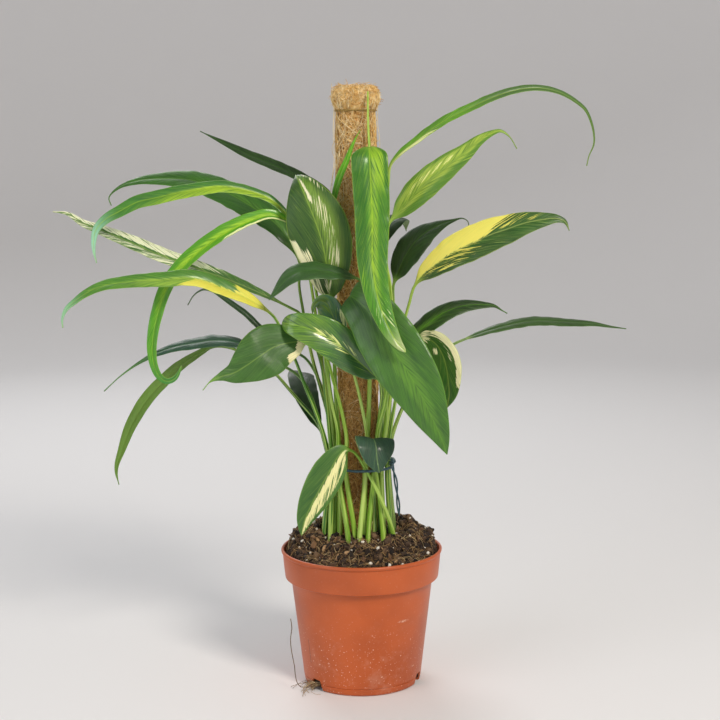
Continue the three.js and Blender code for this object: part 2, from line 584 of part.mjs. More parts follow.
function soilGeometry() {
  const segments = 32;
  const top = insideRadius(SOIL_EDGE) - SEAT_GAP - 0.3;
  const rings = [];
  const ring = (radius, height) => {
    const points = [];
    for (let k = 0; k < segments; k++) {
      const angle = (k / segments) * 2 * Math.PI;
      const [x, y] = [radius * Math.cos(angle), -radius * Math.sin(angle)];
      points.push(new THREE.Vector3(x, y, height(radius, -angle)));
    }
    rings.push(points);
  };
  const low = 2 + SEAT_GAP;
  const margin = SEAT_GAP + 0.3; // the facets of the wall come in a little further than its corners
  ring(insideRadius(low) - margin - 1, () => low);
  ring(insideRadius(low + 1) - margin, () => low + 1);
  ring(insideRadius(BAND_BOTTOM - 3) - margin, () => BAND_BOTTOM);
  ring(insideRadius(BAND_BOTTOM + 3) - margin, () => BAND_BOTTOM + 3.4);
  for (const r of [top, 67, 61, 54, 47, 41, 34, 26, 18, 9]) ring(r, soilHeight);
  return skinOver(rings);
}

function coirOutline() {
  const tuft = COIR_RADIUS + COIR_TUFT;
  return [
    [CORE_RADIUS + SEAT_GAP, COIR_BOTTOM],
    [COIR_RADIUS - 0.6, COIR_BOTTOM],
    [COIR_RADIUS, COIR_BOTTOM + 2],
    [COIR_RADIUS + 0.4, 150],
    [COIR_RADIUS - 0.4, 230],
    [COIR_RADIUS + 0.2, 310],
    [COIR_RADIUS - 0.3, 390],
    [COIR_RADIUS + 0.3, 460],
    [COIR_RADIUS, 515],
    [COIR_RADIUS - 0.7, BINDING_HEIGHT],
    [COIR_RADIUS + 1.4, BINDING_HEIGHT + 5],
    [tuft, BINDING_HEIGHT + 10],
    [tuft - 0.8, BINDING_HEIGHT + 17],
    [tuft - 4.5, COIR_TOP - 1.5],
    [9, COIR_TOP],
    [0, COIR_TOP - 1],
    [0, CORE_TOP + SEAT_GAP],
    [CORE_RADIUS + SEAT_GAP, CORE_TOP + SEAT_GAP],
    [CORE_RADIUS + SEAT_GAP, COIR_BOTTOM],
  ];
}

// A ring of wire round the pole, whose distance from the pole follows a rule of the angle.
function ringAround(radiusAt, height, wire, segments) {
  const ring = new THREE.TorusGeometry(10, wire, 6, segments);
  const position = ring.attributes.position;
  for (let i = 0; i < position.count; i++) {
    const [x, y, z] = [position.getX(i), position.getY(i), position.getZ(i)];
    const angle = Math.atan2(y, x);
    const r = Math.hypot(x, y) - 10 + radiusAt(angle);
    position.setXYZ(i, POLE_X + r * Math.cos(angle), r * Math.sin(angle), z + height(angle));
  }
  return ring;
}

const TIE_WIRE = 1.2;
const TIE_FRONT = 40; // further out at the front, where two more stalks cross
const STALK_AT_TIE = 2.5;

// Where a stalk passes a height
function stalkAt(leaf, z) {
  const rings = leafFrames(leaf).filter((_, i) => i % EVERY === 0);
  const k = rings.findIndex((frame) => frame.at.z > z);
  const [below, above] = [rings[k - 1].at, rings[k].at];
  return below.clone().lerp(above, (z - below.z) / (above.z - below.z));
}

const TIED = LEAVES.filter((leaf) => leaf.tie[1] < 32).map((leaf) => stalkAt(leaf, TIE_HEIGHT + 1));

// How far the taut tie runs from the pole's axis at an angle: the tightest loop round pole and stalks.
function tieRadius(angle) {
  const round = TIE_WIRE + 2 * SEAT_GAP;
  let least = Infinity;
  for (let turn = -80; turn <= 80; turn += 4) {
    const way = angle + rad(turn);
    let reach = COIR_RADIUS + 0.4 + round;
    for (const at of TIED) {
      const out = (at.x - POLE_X) * Math.cos(way) + at.y * Math.sin(way);
      reach = Math.max(reach, out + STALK_AT_TIE + round);
    }
    least = Math.min(least, reach / Math.cos(rad(turn)));
  }
  const front = smooth(0.55, 0.95, Math.cos(angle + Math.PI / 2 - rad(15)));
  return THREE.MathUtils.lerp(least, TIE_FRONT, front);
}

function tieGeometry() {
  const ring = solidOf(ringAround(tieRadius, () => TIE_HEIGHT + 1, TIE_WIRE, 48));
  const knotAt = roundPole([64, 33.4], TIE_HEIGHT + 3);
  const knot = new THREE.SphereGeometry(1, 8, 6).scale(2.2, 2.2, 3.6).translate(knotAt.x, knotAt.y, knotAt.z);
  const tail = new THREE.CatmullRomCurve3([
    knotAt,
    new THREE.Vector3(knotAt.x + 3.5, knotAt.y - 1, TIE_HEIGHT - 12),
    new THREE.Vector3(knotAt.x + 5.5, knotAt.y - 1, TIE_HEIGHT - 30),
    new THREE.Vector3(knotAt.x + 7, knotAt.y + 1, TIE_HEIGHT - 47),
  ]);
  const strip = new THREE.Shape([
    new THREE.Vector2(-0.5, -1.5),
    new THREE.Vector2(0.5, -1.5),
    new THREE.Vector2(0.5, 1.5),
    new THREE.Vector2(-0.5, 1.5),
  ]);
  const hanging = new THREE.ExtrudeGeometry(strip, { steps: 6, extrudePath: tail, bevelEnabled: false });
  return geometryOf(ring.add(solidOf(knot)).add(solidOf(hanging)));
}

const root = new THREE.Group();

function place(name, geometry, colour, roughness) {
  geometry.computeVertexNormals();
  const material = new THREE.MeshStandardMaterial({ color: COLOURS[colour], roughness, metalness: 0 });
  const mesh = new THREE.Mesh(geometry, material);
  mesh.name = name;
  root.add(mesh);
}

place("pot", potGeometry(), "pot", 0.5);

let soil = solidOf(soilGeometry());
const poleHole = turned(
  [
    [0, CORE_BOTTOM - SEAT_GAP],
    [CORE_RADIUS + SEAT_GAP, CORE_BOTTOM - SEAT_GAP],
    [CORE_RADIUS + SEAT_GAP, COIR_BOTTOM - SEAT_GAP],
    [COIR_RADIUS + 0.8, COIR_BOTTOM - SEAT_GAP],
    [COIR_RADIUS + 0.8, 170],
    [0, 170],
  ],
  28,
).translate(POLE_X, 0, 0);
soil = soil.subtract(solidOf(poleHole));
for (const leaf of [...LEAVES, SPEAR]) soil = soil.subtract(solidOf(holeGeometry(leaf)));
place("soil", geometryOf(soil), "soil", 0.95);

const core = turned(
  [
    [0, CORE_BOTTOM],
    [CORE_RADIUS - 3, CORE_BOTTOM],
    [CORE_RADIUS, CORE_BOTTOM + 8],
    [CORE_RADIUS, CORE_TOP],
    [0, CORE_TOP],
  ],
  20,
);
place("pole_core", core.translate(POLE_X, 0, 0), "core", 0.8);
place("coir_wrap", turned(coirOutline(), 24).translate(POLE_X, 0, 0), "coir", 0.95);
place("pole_thread", ringAround(() => COIR_RADIUS + 0.6, () => BINDING_HEIGHT, 0.6, 28), "thread", 0.8);
place("stem_tie", tieGeometry(), "tie", 0.6);
for (const leaf of [...LEAVES, SPEAR]) place(leaf.name, leafGeometry(leaf), leaf.colour, 0.45);

export default root;
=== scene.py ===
"""A potted Epipremnum amplissimum on a coir pole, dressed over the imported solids, in metres, +Z up."""

import math

import bmesh
import bpy
import numpy as np
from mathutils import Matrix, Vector


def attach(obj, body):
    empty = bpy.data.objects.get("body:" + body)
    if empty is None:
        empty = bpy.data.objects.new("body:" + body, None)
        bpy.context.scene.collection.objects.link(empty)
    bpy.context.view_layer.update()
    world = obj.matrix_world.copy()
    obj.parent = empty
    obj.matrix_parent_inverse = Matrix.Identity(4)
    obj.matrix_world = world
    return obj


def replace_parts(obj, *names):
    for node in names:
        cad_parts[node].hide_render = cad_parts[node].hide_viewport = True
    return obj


bl_info = {
    "name": "Potted climbing aroid",
    "version": (1, 0, 0),
    "blender": (4, 5, 0),
    "location": "View3D > Sidebar > Aroid",
    "description": "Builds the leaves, the pot, the potting mix, the coir pole and the tie of a potted aroid",
    "category": "Add Mesh",
}

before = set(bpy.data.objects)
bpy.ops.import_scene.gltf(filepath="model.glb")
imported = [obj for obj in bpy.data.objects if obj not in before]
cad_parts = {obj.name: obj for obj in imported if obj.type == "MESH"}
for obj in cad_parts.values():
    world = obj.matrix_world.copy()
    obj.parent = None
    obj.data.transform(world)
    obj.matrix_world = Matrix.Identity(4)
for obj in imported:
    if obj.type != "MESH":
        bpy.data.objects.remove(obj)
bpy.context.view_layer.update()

MM = 0.001
EYE_DISTANCE = 1.350  # from the pot's axis to the point that the leaves' places are sighted from
EYE_HEIGHT = 0.489
POLE_X = -0.002
NOTCH_ANGLES = (-50, 70, 190)  # the pot's drain notches, in degrees from the front towards the right
MIX_RADIUS = 0.0712  # the mix's surface ends here, against the wall
ROOT_HEIGHT = 0.106  # where the stalks end in the soil
COLLAR_HEIGHT = 0.138  # where they leave it
TIE_HEIGHT = 0.206
TIE_REACH = 32  # mm from the pole's axis; stalks farther out don't shape the tie's loop
KNOT = (64, 33.4)  # degrees and mm round the pole's axis
THREAD_HEIGHT = 0.528
STALK_FOOT = 0.0024
STALK_NECK = 0.0013
BLADE_SKIN = 0.00055  # thickness of a blade
BLADE_EDGE = 0.0003  # and at its margin
CAMERA_ROLL = -0.0083
CAMERA_PITCH = 7.885  # degrees below level
CAMERA_SENSOR = 36


def linear(code):
    """An sRGB hex colour as linear RGBA."""
    parts = [int(code[i : i + 2], 16) / 255 for i in (0, 2, 4)]
    return [c / 12.92 if c <= 0.04045 else ((c + 0.055) / 1.055) ** 2.4 for c in parts] + [1.0]


def smooth(low, high, x):
    """An eased step from 0 at low to 1 at high."""
    t = np.clip((x - low) / (high - low), 0.0, 1.0)
    return t * t * (3 - 2 * t)


def shown(sockets, key=None):
    """The socket with this number or name, or else the first one, of those that the node leaves in use."""
    if isinstance(key, int):
        return sockets[key]
    return next(socket for socket in sockets if socket.enabled and key in (None, socket.name))


def add(tree, kind, settings=None, links=None):
    """Adds a shader node with its settings, by property or socket, and its links."""
    made = tree.nodes.new("ShaderNode" + kind)
    for key, value in (settings or {}).items():
        if isinstance(key, str) and key in made.bl_rna.properties:
            setattr(made, key, value)
        else:
            shown(made.inputs, key).default_value = value
    for key, source in (links or {}).items():
        source = source if isinstance(source, bpy.types.NodeSocket) else shown(source.outputs)
        tree.links.new(source, shown(made.inputs, key))
    return made


def finish_of(name):
    """A new empty material with its tree."""
    material = bpy.data.materials.new(name)
    material.use_nodes = True
    material.node_tree.nodes.clear()
    return material, material.node_tree


def surface(tree, settings, links):
    """The principled shader and the output that end every finish."""
    shader = add(tree, "BsdfPrincipled", settings, links)
    add(tree, "OutputMaterial", links={"Surface": shader.outputs["BSDF"]})


def placed(name, data):
    """A new object in the scene."""
    made = bpy.data.objects.new(name, data)
    bpy.context.scene.collection.objects.link(made)
    return made


def form(name, points, faces, finish, stands_for=(), values=None, flat=False):
    """A piece made from points and faces, with its values for each point, that rides on the body."""
    mesh = bpy.data.meshes.new(name)
    points = np.asarray(points, float).reshape(-1, 3)
    if isinstance(faces, np.ndarray):
        count, sides = faces.shape
        mesh.vertices.add(len(points))
        mesh.vertices.foreach_set("co", points.ravel())
        mesh.loops.add(count * sides)
        mesh.loops.foreach_set("vertex_index", faces.astype(np.int32).ravel())
        mesh.polygons.add(count)
        mesh.polygons.foreach_set("loop_start", np.arange(0, count * sides, sides, dtype=np.int32))
        mesh.update(calc_edges=True)
    else:
        mesh.from_pydata(points.tolist(), [], faces)
    for key, value in (values or {}).items():
        value = np.asarray(value, float)
        vector = value.ndim == 2
        layer = mesh.attributes.new(key, "FLOAT_VECTOR" if vector else "FLOAT", "POINT")
        layer.data.foreach_set("vector" if vector else "value", value.ravel())
    mesh.materials.append(finish)
    mesh.polygons.foreach_set("use_smooth", np.full(len(mesh.polygons), not flat))
    mesh.validate()
    mesh.update()
    piece = placed(name, mesh)
    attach(piece, "root")
    if stands_for:
        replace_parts(piece, *stands_for)
    return piece


def circle(sides):
    """Equal steps round a circle, as angles."""
    return np.arange(sides) * 2 * math.pi / sides


def ring(radius, height, turn, middle=0.0):
    """Points on a ring round an upright axis."""
    x, y = middle + radius * np.cos(turn), radius * np.sin(turn)
    return np.stack([x, y, np.broadcast_to(height, x.shape)], axis=1)


def tube_faces(rings, sides):
    """Quads that join rings of points, one ring after another."""
    near = np.arange(rings - 1)[:, None] * sides
    far = near + sides
    k = np.arange(sides)[None, :]
    nxt = (k + 1) % sides
    return np.stack([near + k, near + nxt, far + nxt, far + k], axis=-1).reshape(-1, 4)


def capped(rings, first, last):
    """Points and faces of a body through rings of points, closed on a point at each end."""
    count, sides = len(rings), len(rings[0])
    k = np.arange(sides)
    nxt = (k + 1) % sides
    top = (count - 1) * sides
    start = np.stack([np.full(sides, count * sides), nxt, k], axis=1)
    end = np.stack([np.full(sides, count * sides + 1), top + k, top + nxt], axis=1)
    faces = [*tube_faces(count, sides).tolist(), *start.tolist(), *end.tolist()]
    return np.vstack([*rings, [first], [last]]), faces


def strands(paths, radii, outward, sides=3):
    """Thin tubes along many paths: paths and outward are strand by point by 3, radii strand by point."""
    paths, radii, outward = np.asarray(paths, float), np.asarray(radii, float), np.asarray(outward, float)
    count, steps, _ = paths.shape
    along = np.gradient(paths, axis=1)
    along /= np.linalg.norm(along, axis=2, keepdims=True) + 1e-12
    across = np.cross(along, outward)
    across /= np.linalg.norm(across, axis=2, keepdims=True) + 1e-12
    up = np.cross(across, along)
    turn = circle(sides)[:, None]
    around = np.cos(turn) * up[:, :, None, :] + np.sin(turn) * across[:, :, None, :]
    points = (paths[:, :, None, :] + radii[:, :, None, None] * around).reshape(-1, 3)
    one = tube_faces(steps, sides)
    faces = (one[None] + (np.arange(count) * steps * sides)[:, None, None]).reshape(-1, 4)
    return points, faces


def strand_piece(name, paths, thick, outward, own, finish, sides=3):
    """A piece of many strands, each with one radius and one place in its finish's colours."""
    radii = np.broadcast_to(np.reshape(thick, (-1, 1)), paths.shape[:2])
    points, faces = strands(paths, radii, outward, sides)
    return form(name, points, faces, finish, values={"own": np.repeat(own, paths.shape[1] * sides)})


def catmull(points, steps):
    """A centripetal curve through the points, in equal shares of each stretch."""
    p = [np.asarray(q, float) for q in points]
    p = [2 * p[0] - p[1], *p, 2 * p[-1] - p[-2]]
    fine = []
    for i in range(1, len(p) - 2):
        a, b, c, d = p[i - 1 : i + 3]
        spans = [max(math.sqrt(np.linalg.norm(v)), 1e-9) for v in (b - a, c - b, d - c)]
        s0, s1, s2 = spans
        m1 = ((b - a) / s0 - (c - a) / (s0 + s1) + (c - b) / s1) * s1
        m2 = ((c - b) / s1 - (d - b) / (s1 + s2) + (d - c) / s2) * s1
        t = np.arange(steps)[:, None] / steps
        fine.append(b + m1 * t + (-3 * b + 3 * c - 2 * m1 - m2) * t**2 + (2 * b - 2 * c + m1 + m2) * t**3)
    return np.vstack([*fine, p[-2][None]])


def seen(place):
    """A point from its sighted place in mm: right, up, and slid along the sight line towards the eye."""
    u, v, d = (c * MM for c in place)
    t = (EYE_DISTANCE - d) / EYE_DISTANCE
    return (u * t, -d, EYE_HEIGHT + (v - EYE_HEIGHT) * t)


def round_pole(place, z):
    """A point at a height, from degrees and mm round the pole's axis; 0 degrees is the front, 90 right."""
    angle, radius = math.radians(place[0]), place[1] * MM
    return (POLE_X + radius * math.sin(angle), -radius * math.cos(angle), z)


# Each leaf's run and shape. soil and tie say where the stalk passes the mix and the tie, in degrees and mm
# round the pole's axis. stalk and blade are sighted places in mm, as seen takes them. width is the blade's
# full width in mm, widest the share of its length where it is so wide, and taper how slender its tip is. face
# says which way the blade's base looks: right, up and to the front. fold is how far the halves rise and turn
# how far the blade twists towards its tip, both in degrees. waves is the number of waves in a blade.
LEAVES = {
    "leaf_left_01": dict(
        soil=(-150, 22.5), tie=(-150, 21.5), width=13, widest=0.45, taper=1.1, face=(0.3, 0.5, 0.8), fold=20,
        stalk=[(-14, 240, -26), (-15, 300, -32), (-16, 360, -36), (-17, 410, -38)],
        blade=[(-20, 440, -40), (-27, 454, -43), (-50, 468, -52), (-81, 482, -66), (-100, 490, -75),
            (-120, 500, -85), (-142, 511, -98)],
    ),
    "leaf_left_02": dict(
        soil=(-106, 24), tie=(-106, 21.5), width=33, widest=0.36, taper=1.25, face=(0.5, 0.35, 0.8), fold=12,
        stalk=[(-26, 228, -8), (-30, 252, -14), (-36, 275, -19), (-42, 297, -22), (-48, 325, -24),
            (-52, 350, -27), (-55, 372, -29)],
        blade=[(-54, 390, -31), (-61, 408, -34), (-74, 426, -39), (-97, 443, -48), (-120, 456, -56),
            (-150, 467, -64), (-176, 469, -70), (-200, 467, -75), (-217, 461, -78), (-226, 452, -79),
            (-224, 445, -79)],
    ),
    "leaf_left_03": dict(
        soil=(-88, 24), tie=(-88, 21.5), width=15, widest=0.6, taper=0.9, face=(0.4, 0.8, 0.45), fold=18,
        turn=-25,
        stalk=[(-27, 235, 0), (-31, 262, -3), (-34, 290, -5), (-37, 320, -7), (-41, 350, -8), (-45, 378, -8)],
        blade=[(-49, 400, -8), (-58, 424, -9), (-70, 441, -9), (-81, 450, -8), (-100, 457, -6),
            (-123, 461, -2), (-150, 458, 3), (-168, 455, 6), (-186, 451, 8), (-200, 448, 10), (-216, 440, 12),
            (-229, 433, 14), (-238, 424, 15), (-241, 413, 15), (-241, 403, 15), (-239, 393, 15)],
    ),
    "leaf_left_04": dict(
        soil=(-70, 24.5), tie=(-70, 21.5), width=17, widest=0.35, taper=0.6, face=(0.3, 0.75, 0.6), fold=36,
        stalk=[(-25, 238, 7), (-28, 266, 6), (-31, 295, 4), (-34, 325, 3), (-38, 355, 3), (-43, 385, 5)],
        blade=[(-49, 408, 8), (-60, 426, 10), (-79, 435, 14), (-100, 430, 19), (-123, 419, 24),
            (-150, 400, 28), (-167, 383, 31), (-175, 371, 33), (-182, 354, 35), (-188, 332, 37),
            (-190, 318, 38), (-190, 306, 38), (-188, 296, 39), (-184, 288, 40), (-178, 284, 41),
            (-171, 286, 42), (-167, 291, 43), (-164, 298, 43)],
    ),
    "leaf_left_05": dict(
        soil=(-63, 30), tie=(-63, 27.5), width=20, widest=0.55, taper=0.9, face=(0.3, 0.7, 0.65), fold=24,
        stalk=[(-29, 238, 14), (-31, 262, 14), (-33, 285, 14), (-38, 308, 13), (-46, 330, 11), (-54, 345, 9)],
        blade=[(-62, 350, 7), (-90, 364, 3), (-120, 377, -1), (-150, 388, -4), (-180, 399, -7),
            (-200, 408, -8), (-216, 415, -9), (-235, 423, -10), (-250, 429, -10), (-264, 438, -10),
            (-277, 440, -10)],
    ),
    "leaf_left_06": dict(
        soil=(-78, 33), tie=(-78, 27.8), width=19, widest=0.3, taper=0.7, face=(0.35, 0.65, 0.7), fold=20,
        turn=20,
        stalk=[(-34, 232, 10), (-42, 256, 14), (-51, 279, 18), (-60, 304, 22), (-69, 322, 25)],
        blade=[(-78, 342, 28), (-100, 358, 36), (-122, 368, 42), (-151, 378, 50), (-179, 377, 56),
            (-203, 376, 60), (-234, 372, 64), (-250, 365, 65), (-260, 358, 66), (-268, 351, 67),
            (-272, 342, 67), (-272, 334, 67)],
    ),
    "leaf_left_07": dict(
        soil=(-124, 24), tie=(-124, 21.5), width=10, widest=0.4, taper=1.1, face=(0.45, 0.75, 0.5), fold=30,
        stalk=[(-25, 232, -15), (-31, 258, -20), (-38, 284, -25), (-50, 304, -28)],
        blade=[(-62, 311, -30), (-79, 320, -32), (-91, 331, -34), (-105, 345, -36), (-122, 358, -38),
            (-133, 366, -40), (-141, 368, -41), (-147, 366, -42), (-152, 362, -42), (-157, 354, -42)],
    ),
    "leaf_left_08": dict(
        soil=(-92, 33), tie=(-92, 28), width=19, widest=0.3, taper=2.2, face=(0.3, 0.85, 0.42), fold=8,
        stalk=[(-35, 232, -2), (-41, 256, -3), (-48, 276, -3), (-58, 289, -2), (-70, 297, 0)],
        blade=[(-84, 306, 3), (-100, 314, 6), (-113, 319, 8), (-125, 321, 10), (-137, 321, 12),
            (-150, 319, 13), (-168, 316, 15), (-186, 310, 16), (-200, 303, 17), (-211, 296, 18),
            (-223, 287, 19), (-236, 275, 20)],
    ),
    "leaf_left_09": dict(
        soil=(-106, 33), tie=(-106, 28), width=14, widest=0.5, taper=1, face=(-0.35, 0.45, -0.8), fold=14,
        stalk=[(-34, 230, -10), (-41, 246, -13), (-56, 264, -15), (-66, 276, -16), (-76, 288, -17),
            (-88, 299, -17), (-104, 308, -17)],
        blade=[(-122, 315, -16), (-137, 315, -15), (-145, 311, -14), (-155, 305, -13), (-167, 297, -12),
            (-180, 285, -11), (-192, 273, -10), (-200, 263, -9), (-213, 241, -7), (-222, 218, -6),
            (-226, 207, -5), (-227, 198, -5), (-225, 187, -5)],
    ),
    "leaf_left_10": dict(
        soil=(-8, 25), tie=(-26, 27.5), width=46, widest=0.4, taper=2.3, face=(0.1, 0.4, 0.9), fold=10,
        waves=3.5,
        stalk=[(-13, 228, 27), (-16, 248, 30), (-20, 266, 32), (-25, 284, 33), (-29, 300, 34),
            (-35, 312, 36)],
        blade=[(-44, 319, 38), (-61, 319, 43), (-78, 315, 50), (-91, 307, 58), (-104, 298, 62),
            (-116, 291, 65), (-127, 288, 68), (-138, 283, 71), (-145, 275, 72)],
    ),
    "leaf_left_11": dict(
        soil=(-122, 33), tie=(-122, 28), width=28, widest=0.45, taper=1.1, face=(0.45, 0.4, 0.8), fold=10,
        stalk=[(-31, 222, -19)],
        blade=[(-35, 232, -22), (-42, 248, -30), (-48, 264, -41), (-52, 277, -56), (-54, 287, -75),
            (-53, 291, -97), (-51, 287, -119), (-49, 278, -138)],
    ),
    "leaf_front_01": dict(
        soil=(-20, 29), tie=(-44, 27.5), width=56, widest=0.52, taper=1.15, face=(-0.1, 0.2, 0.95), fold=10,
        waves=2,
        stalk=[(-21, 236, 22), (-26, 262, 22), (-29, 285, 22), (-30, 310, 22), (-29, 335, 24)],
        blade=[(-27, 352, 28), (-28, 372, 31), (-30, 392, 34), (-34, 412, 36), (-40, 431, 36), (-47, 449, 33),
            (-52, 461, 27), (-55, 468, 18), (-57, 471, 8)],
    ),
    "leaf_front_02": dict(
        soil=(58, 22.5), tie=(58, 21.5), width=24, widest=0.55, taper=0.9, face=(0.3, 0.75, 0.6), fold=12,
        turn=15, waves=1.5,
        stalk=[(19, 235, 14), (20, 262, 16), (18, 295, 20), (17, 325, 24), (14, 350, 31), (8, 367, 38)],
        blade=[(0, 376, 41), (-12, 380, 46), (-27, 383, 50), (-41, 385, 53), (-56, 383, 55), (-66, 377, 56),
            (-75, 367, 57), (-83, 358, 58)],
    ),
    "leaf_front_03": dict(
        soil=(40, 22), tie=(40, 21.5), width=35, widest=0.45, taper=0.5, face=(0.1, 0.3, 0.95), fold=20,
        waves=2,
        stalk=[(15, 232, 20), (18, 255, 26), (20, 272, 34)],
        blade=[(18, 282, 41), (8, 292, 46), (-6, 305, 50), (-20, 317, 52), (-36, 327, 53), (-52, 333, 53),
            (-64, 336, 50), (-71, 337, 42)],
    ),
    "leaf_front_04": dict(
        soil=(0, 31), tie=(14, 27.5), width=22, widest=0.55, taper=0.8, face=(-0.3, 0.4, 0.9), fold=12,
        stalk=[(6, 229, 28), (0, 265, 30), (-6, 290, 31)],
        blade=[(-12, 308, 31), (-18, 325, 31), (-24, 342, 33), (-30, 354, 36), (-37, 357, 41), (-42, 352, 43),
            (-43, 345, 43)],
    ),
    "leaf_front_05": dict(
        soil=(51, 29), tie=(50, 27.5), width=53, widest=0.5, taper=0.85, face=(-0.2, -0.6, -0.75), fold=10,
        waves=2,
        stalk=[(21, 228, 21), (24, 250, 25), (23, 275, 28), (18, 300, 31), (12, 320, 33)],
        blade=[(3, 340, 35), (-6, 354, 40), (-9, 361, 48), (-1, 356, 59), (10, 344, 66), (22, 325, 74),
            (38, 300, 81), (53, 275, 87), (65, 250, 91), (74, 230, 93), (80, 213, 94)],
    ),
    "leaf_front_06": dict(
        soil=(16, 28), tie=(32, 27.5), width=33, widest=0.13, taper=0.55, face=(0, -0.4, -0.9), fold=16,
        waves=2,
        stalk=[(17, 240, 27), (23, 262, 33), (26, 285, 42), (24, 320, 45), (19, 360, 43), (14, 400, 44),
            (12, 440, 42), (11, 470, 38)],
        blade=[(10, 488, 39), (10, 495, 46), (10, 488, 55), (11, 465, 60), (12, 440, 64), (12, 415, 68),
            (12, 395, 72), (14, 375, 77), (18, 355, 82), (25, 335, 87), (34, 318, 91), (42, 309, 93)],
    ),
    "leaf_front_07": dict(
        soil=(-52, 23), tie=(-52, 21.5), width=6.5, widest=0.45, taper=1.1, face=(0.2, 0.2, 0.95), fold=20,
        stalk=[(-21, 240, 16), (-23, 280, 17), (-24, 330, 17), (-26, 380, 16), (-27, 412, 17)],
        blade=[(-26, 430, 18), (-23, 446, 20), (-20, 460, 21), (-16, 472, 22), (-11, 483, 23), (-4, 500, 23),
            (2, 511, 23)],
    ),
    "leaf_right_01": dict(
        soil=(130, 22.5), tie=(130, 21.5), width=11, widest=0.3, taper=0.8, face=(-0.4, 0.7, 0.6), fold=24,
        stalk=[(19, 250, -14), (22, 320, -13), (24, 390, -12), (25, 440, -10)],
        blade=[(27, 464, -8), (29, 479, -8), (38, 490, -9), (50, 499, -11), (65, 510, -13), (81, 520, -15),
            (100, 529, -18), (120, 538, -22), (135, 543, -25), (150, 546, -28), (166, 546, -31),
            (182, 542, -34), (196, 534, -36), (204, 527, -37), (209, 517, -38), (212, 505, -39),
            (212, 496, -39), (208, 486, -40), (206, 477, -40)],
    ),
    "leaf_right_02": dict(
        soil=(75, 22.5), tie=(75, 21.5), width=27, widest=0.3, taper=1.9, face=(-0.3, 0.3, 0.9), fold=12,
        stalk=[(21, 240, 8), (24, 280, 11), (27, 320, 14), (29, 350, 16), (28, 372, 18), (25, 388, 19),
            (24, 402, 20), (25, 416, 21)],
        blade=[(27, 426, 22), (39, 440, 24), (51, 453, 26), (64, 465, 28), (80, 478, 30), (96, 490, 32),
            (109, 501, 33), (120, 507, 34), (128, 509, 34), (136, 504, 34), (143, 493, 34)],
    ),
    "leaf_right_03": dict(
        soil=(101, 33), tie=(101, 28), width=29, widest=0.35, taper=2.6, face=(-0.45, 0.2, 0.85), fold=10,
        stalk=[(26, 240, -11), (29, 290, -15), (31, 330, -14), (31, 355, -11)],
        blade=[(31, 370, -9), (36, 384, -10), (42, 397, -13), (51, 410, -18), (60, 418, -24), (73, 425, -31),
            (85, 429, -38), (94, 431, -43), (99, 428, -46), (100, 422, -47)],
    ),
    "leaf_right_04": dict(
        soil=(92, 22.5), tie=(92, 21.5), width=34, widest=0.42, taper=1.1, face=(-0.3, 0.55, 0.78), fold=12,
        stalk=[(24, 240, 2), (29, 280, 4), (35, 315, 6), (42, 342, 8), (46, 356, 9)],
        blade=[(49, 367, 10), (57, 379, 12), (72, 391, 15), (87, 401, 17), (104, 409, 19), (120, 416, 21),
            (135, 421, 22), (150, 426, 23), (166, 429, 24), (179, 430, 24), (187, 427, 24), (191, 419, 24)],
    ),
    "leaf_right_05": dict(
        soil=(109, 22.5), tie=(109, 21.5), width=21, widest=0.35, taper=1.3, face=(-0.35, 0.55, 0.75),
            fold=10,
        stalk=[(22, 235, -8), (27, 262, -5), (33, 288, -3)],
        blade=[(40, 308, -4), (48, 321, -6), (55, 329, -8), (65, 337, -10), (75, 344, -12), (84, 348, -14),
            (94, 351, -16), (104, 352, -18), (114, 352, -20), (123, 351, -22), (130, 347, -23),
            (135, 344, -24)],
    ),
    "leaf_right_06": dict(
        soil=(84, 32), tie=(84, 28), width=17, widest=0.5, taper=1.1, face=(0, 0.9, 0.4), fold=8,
        stalk=[(29, 230, 4), (41, 262, 8), (52, 282, 9), (64, 299, 8), (76, 310, 5)],
        blade=[(88, 317, 2), (100, 322, -2), (114, 327, -6), (128, 331, -10), (151, 336, -17),
            (167, 337, -22), (183, 336, -27), (198, 335, -32), (214, 334, -37), (230, 331, -42),
            (244, 329, -46)],
    ),
    "leaf_right_07": dict(
        soil=(70, 31), tie=(68, 28), width=29, widest=0.5, taper=0.8, face=(0, 0.4, 0.9), fold=12, waves=1.5,
        stalk=[(27, 232, 14), (32, 262, 20), (38, 290, 26), (44, 310, 31)],
        blade=[(50, 321, 35), (60, 322, 39), (69, 317, 44), (75, 308, 48), (79, 296, 51), (81, 283, 53),
            (82, 270, 54), (80, 257, 55)],
    ),
    "leaf_right_08": dict(
        soil=(155, 22.5), tie=(155, 21.5), width=24, widest=0.45, taper=1.2, face=(-0.3, 0.3, 0.9), fold=12,
        stalk=[(10, 260, -25), (14, 330, -30), (16, 380, -34)],
        blade=[(18, 400, -38), (22, 416, -44), (28, 427, -53), (34, 432, -63), (39, 431, -75), (42, 426, -87),
            (43, 420, -95)],
    ),
    "leaf_low_01": dict(
        soil=(62, 36), tie=(11, 35.5), width=32, widest=0.4, taper=0.8, face=(-0.2, 0.5, 0.85), fold=10,
        low=[(18, 172, 34)],
        stalk=[(-3, 212, 37)],
        blade=[(-8, 217, 39), (-15, 218, 42), (-21, 212, 45), (-28, 200, 48), (-38, 182, 51), (-47, 165, 52),
            (-53, 151, 52), (-56, 137, 51)],
    ),
    "leaf_low_02": dict(
        soil=(42, 33), tie=(28, 33), width=38, widest=0.4, taper=0.8, face=(0, -0.4, -0.9), fold=14,
        stalk=[(11, 214, 31)],
        blade=[(10, 221, 33), (10, 227, 38), (12, 228, 44), (14, 221, 50), (15, 209, 54), (17, 196, 56)],
    ),
    "new_leaf_spear": dict(
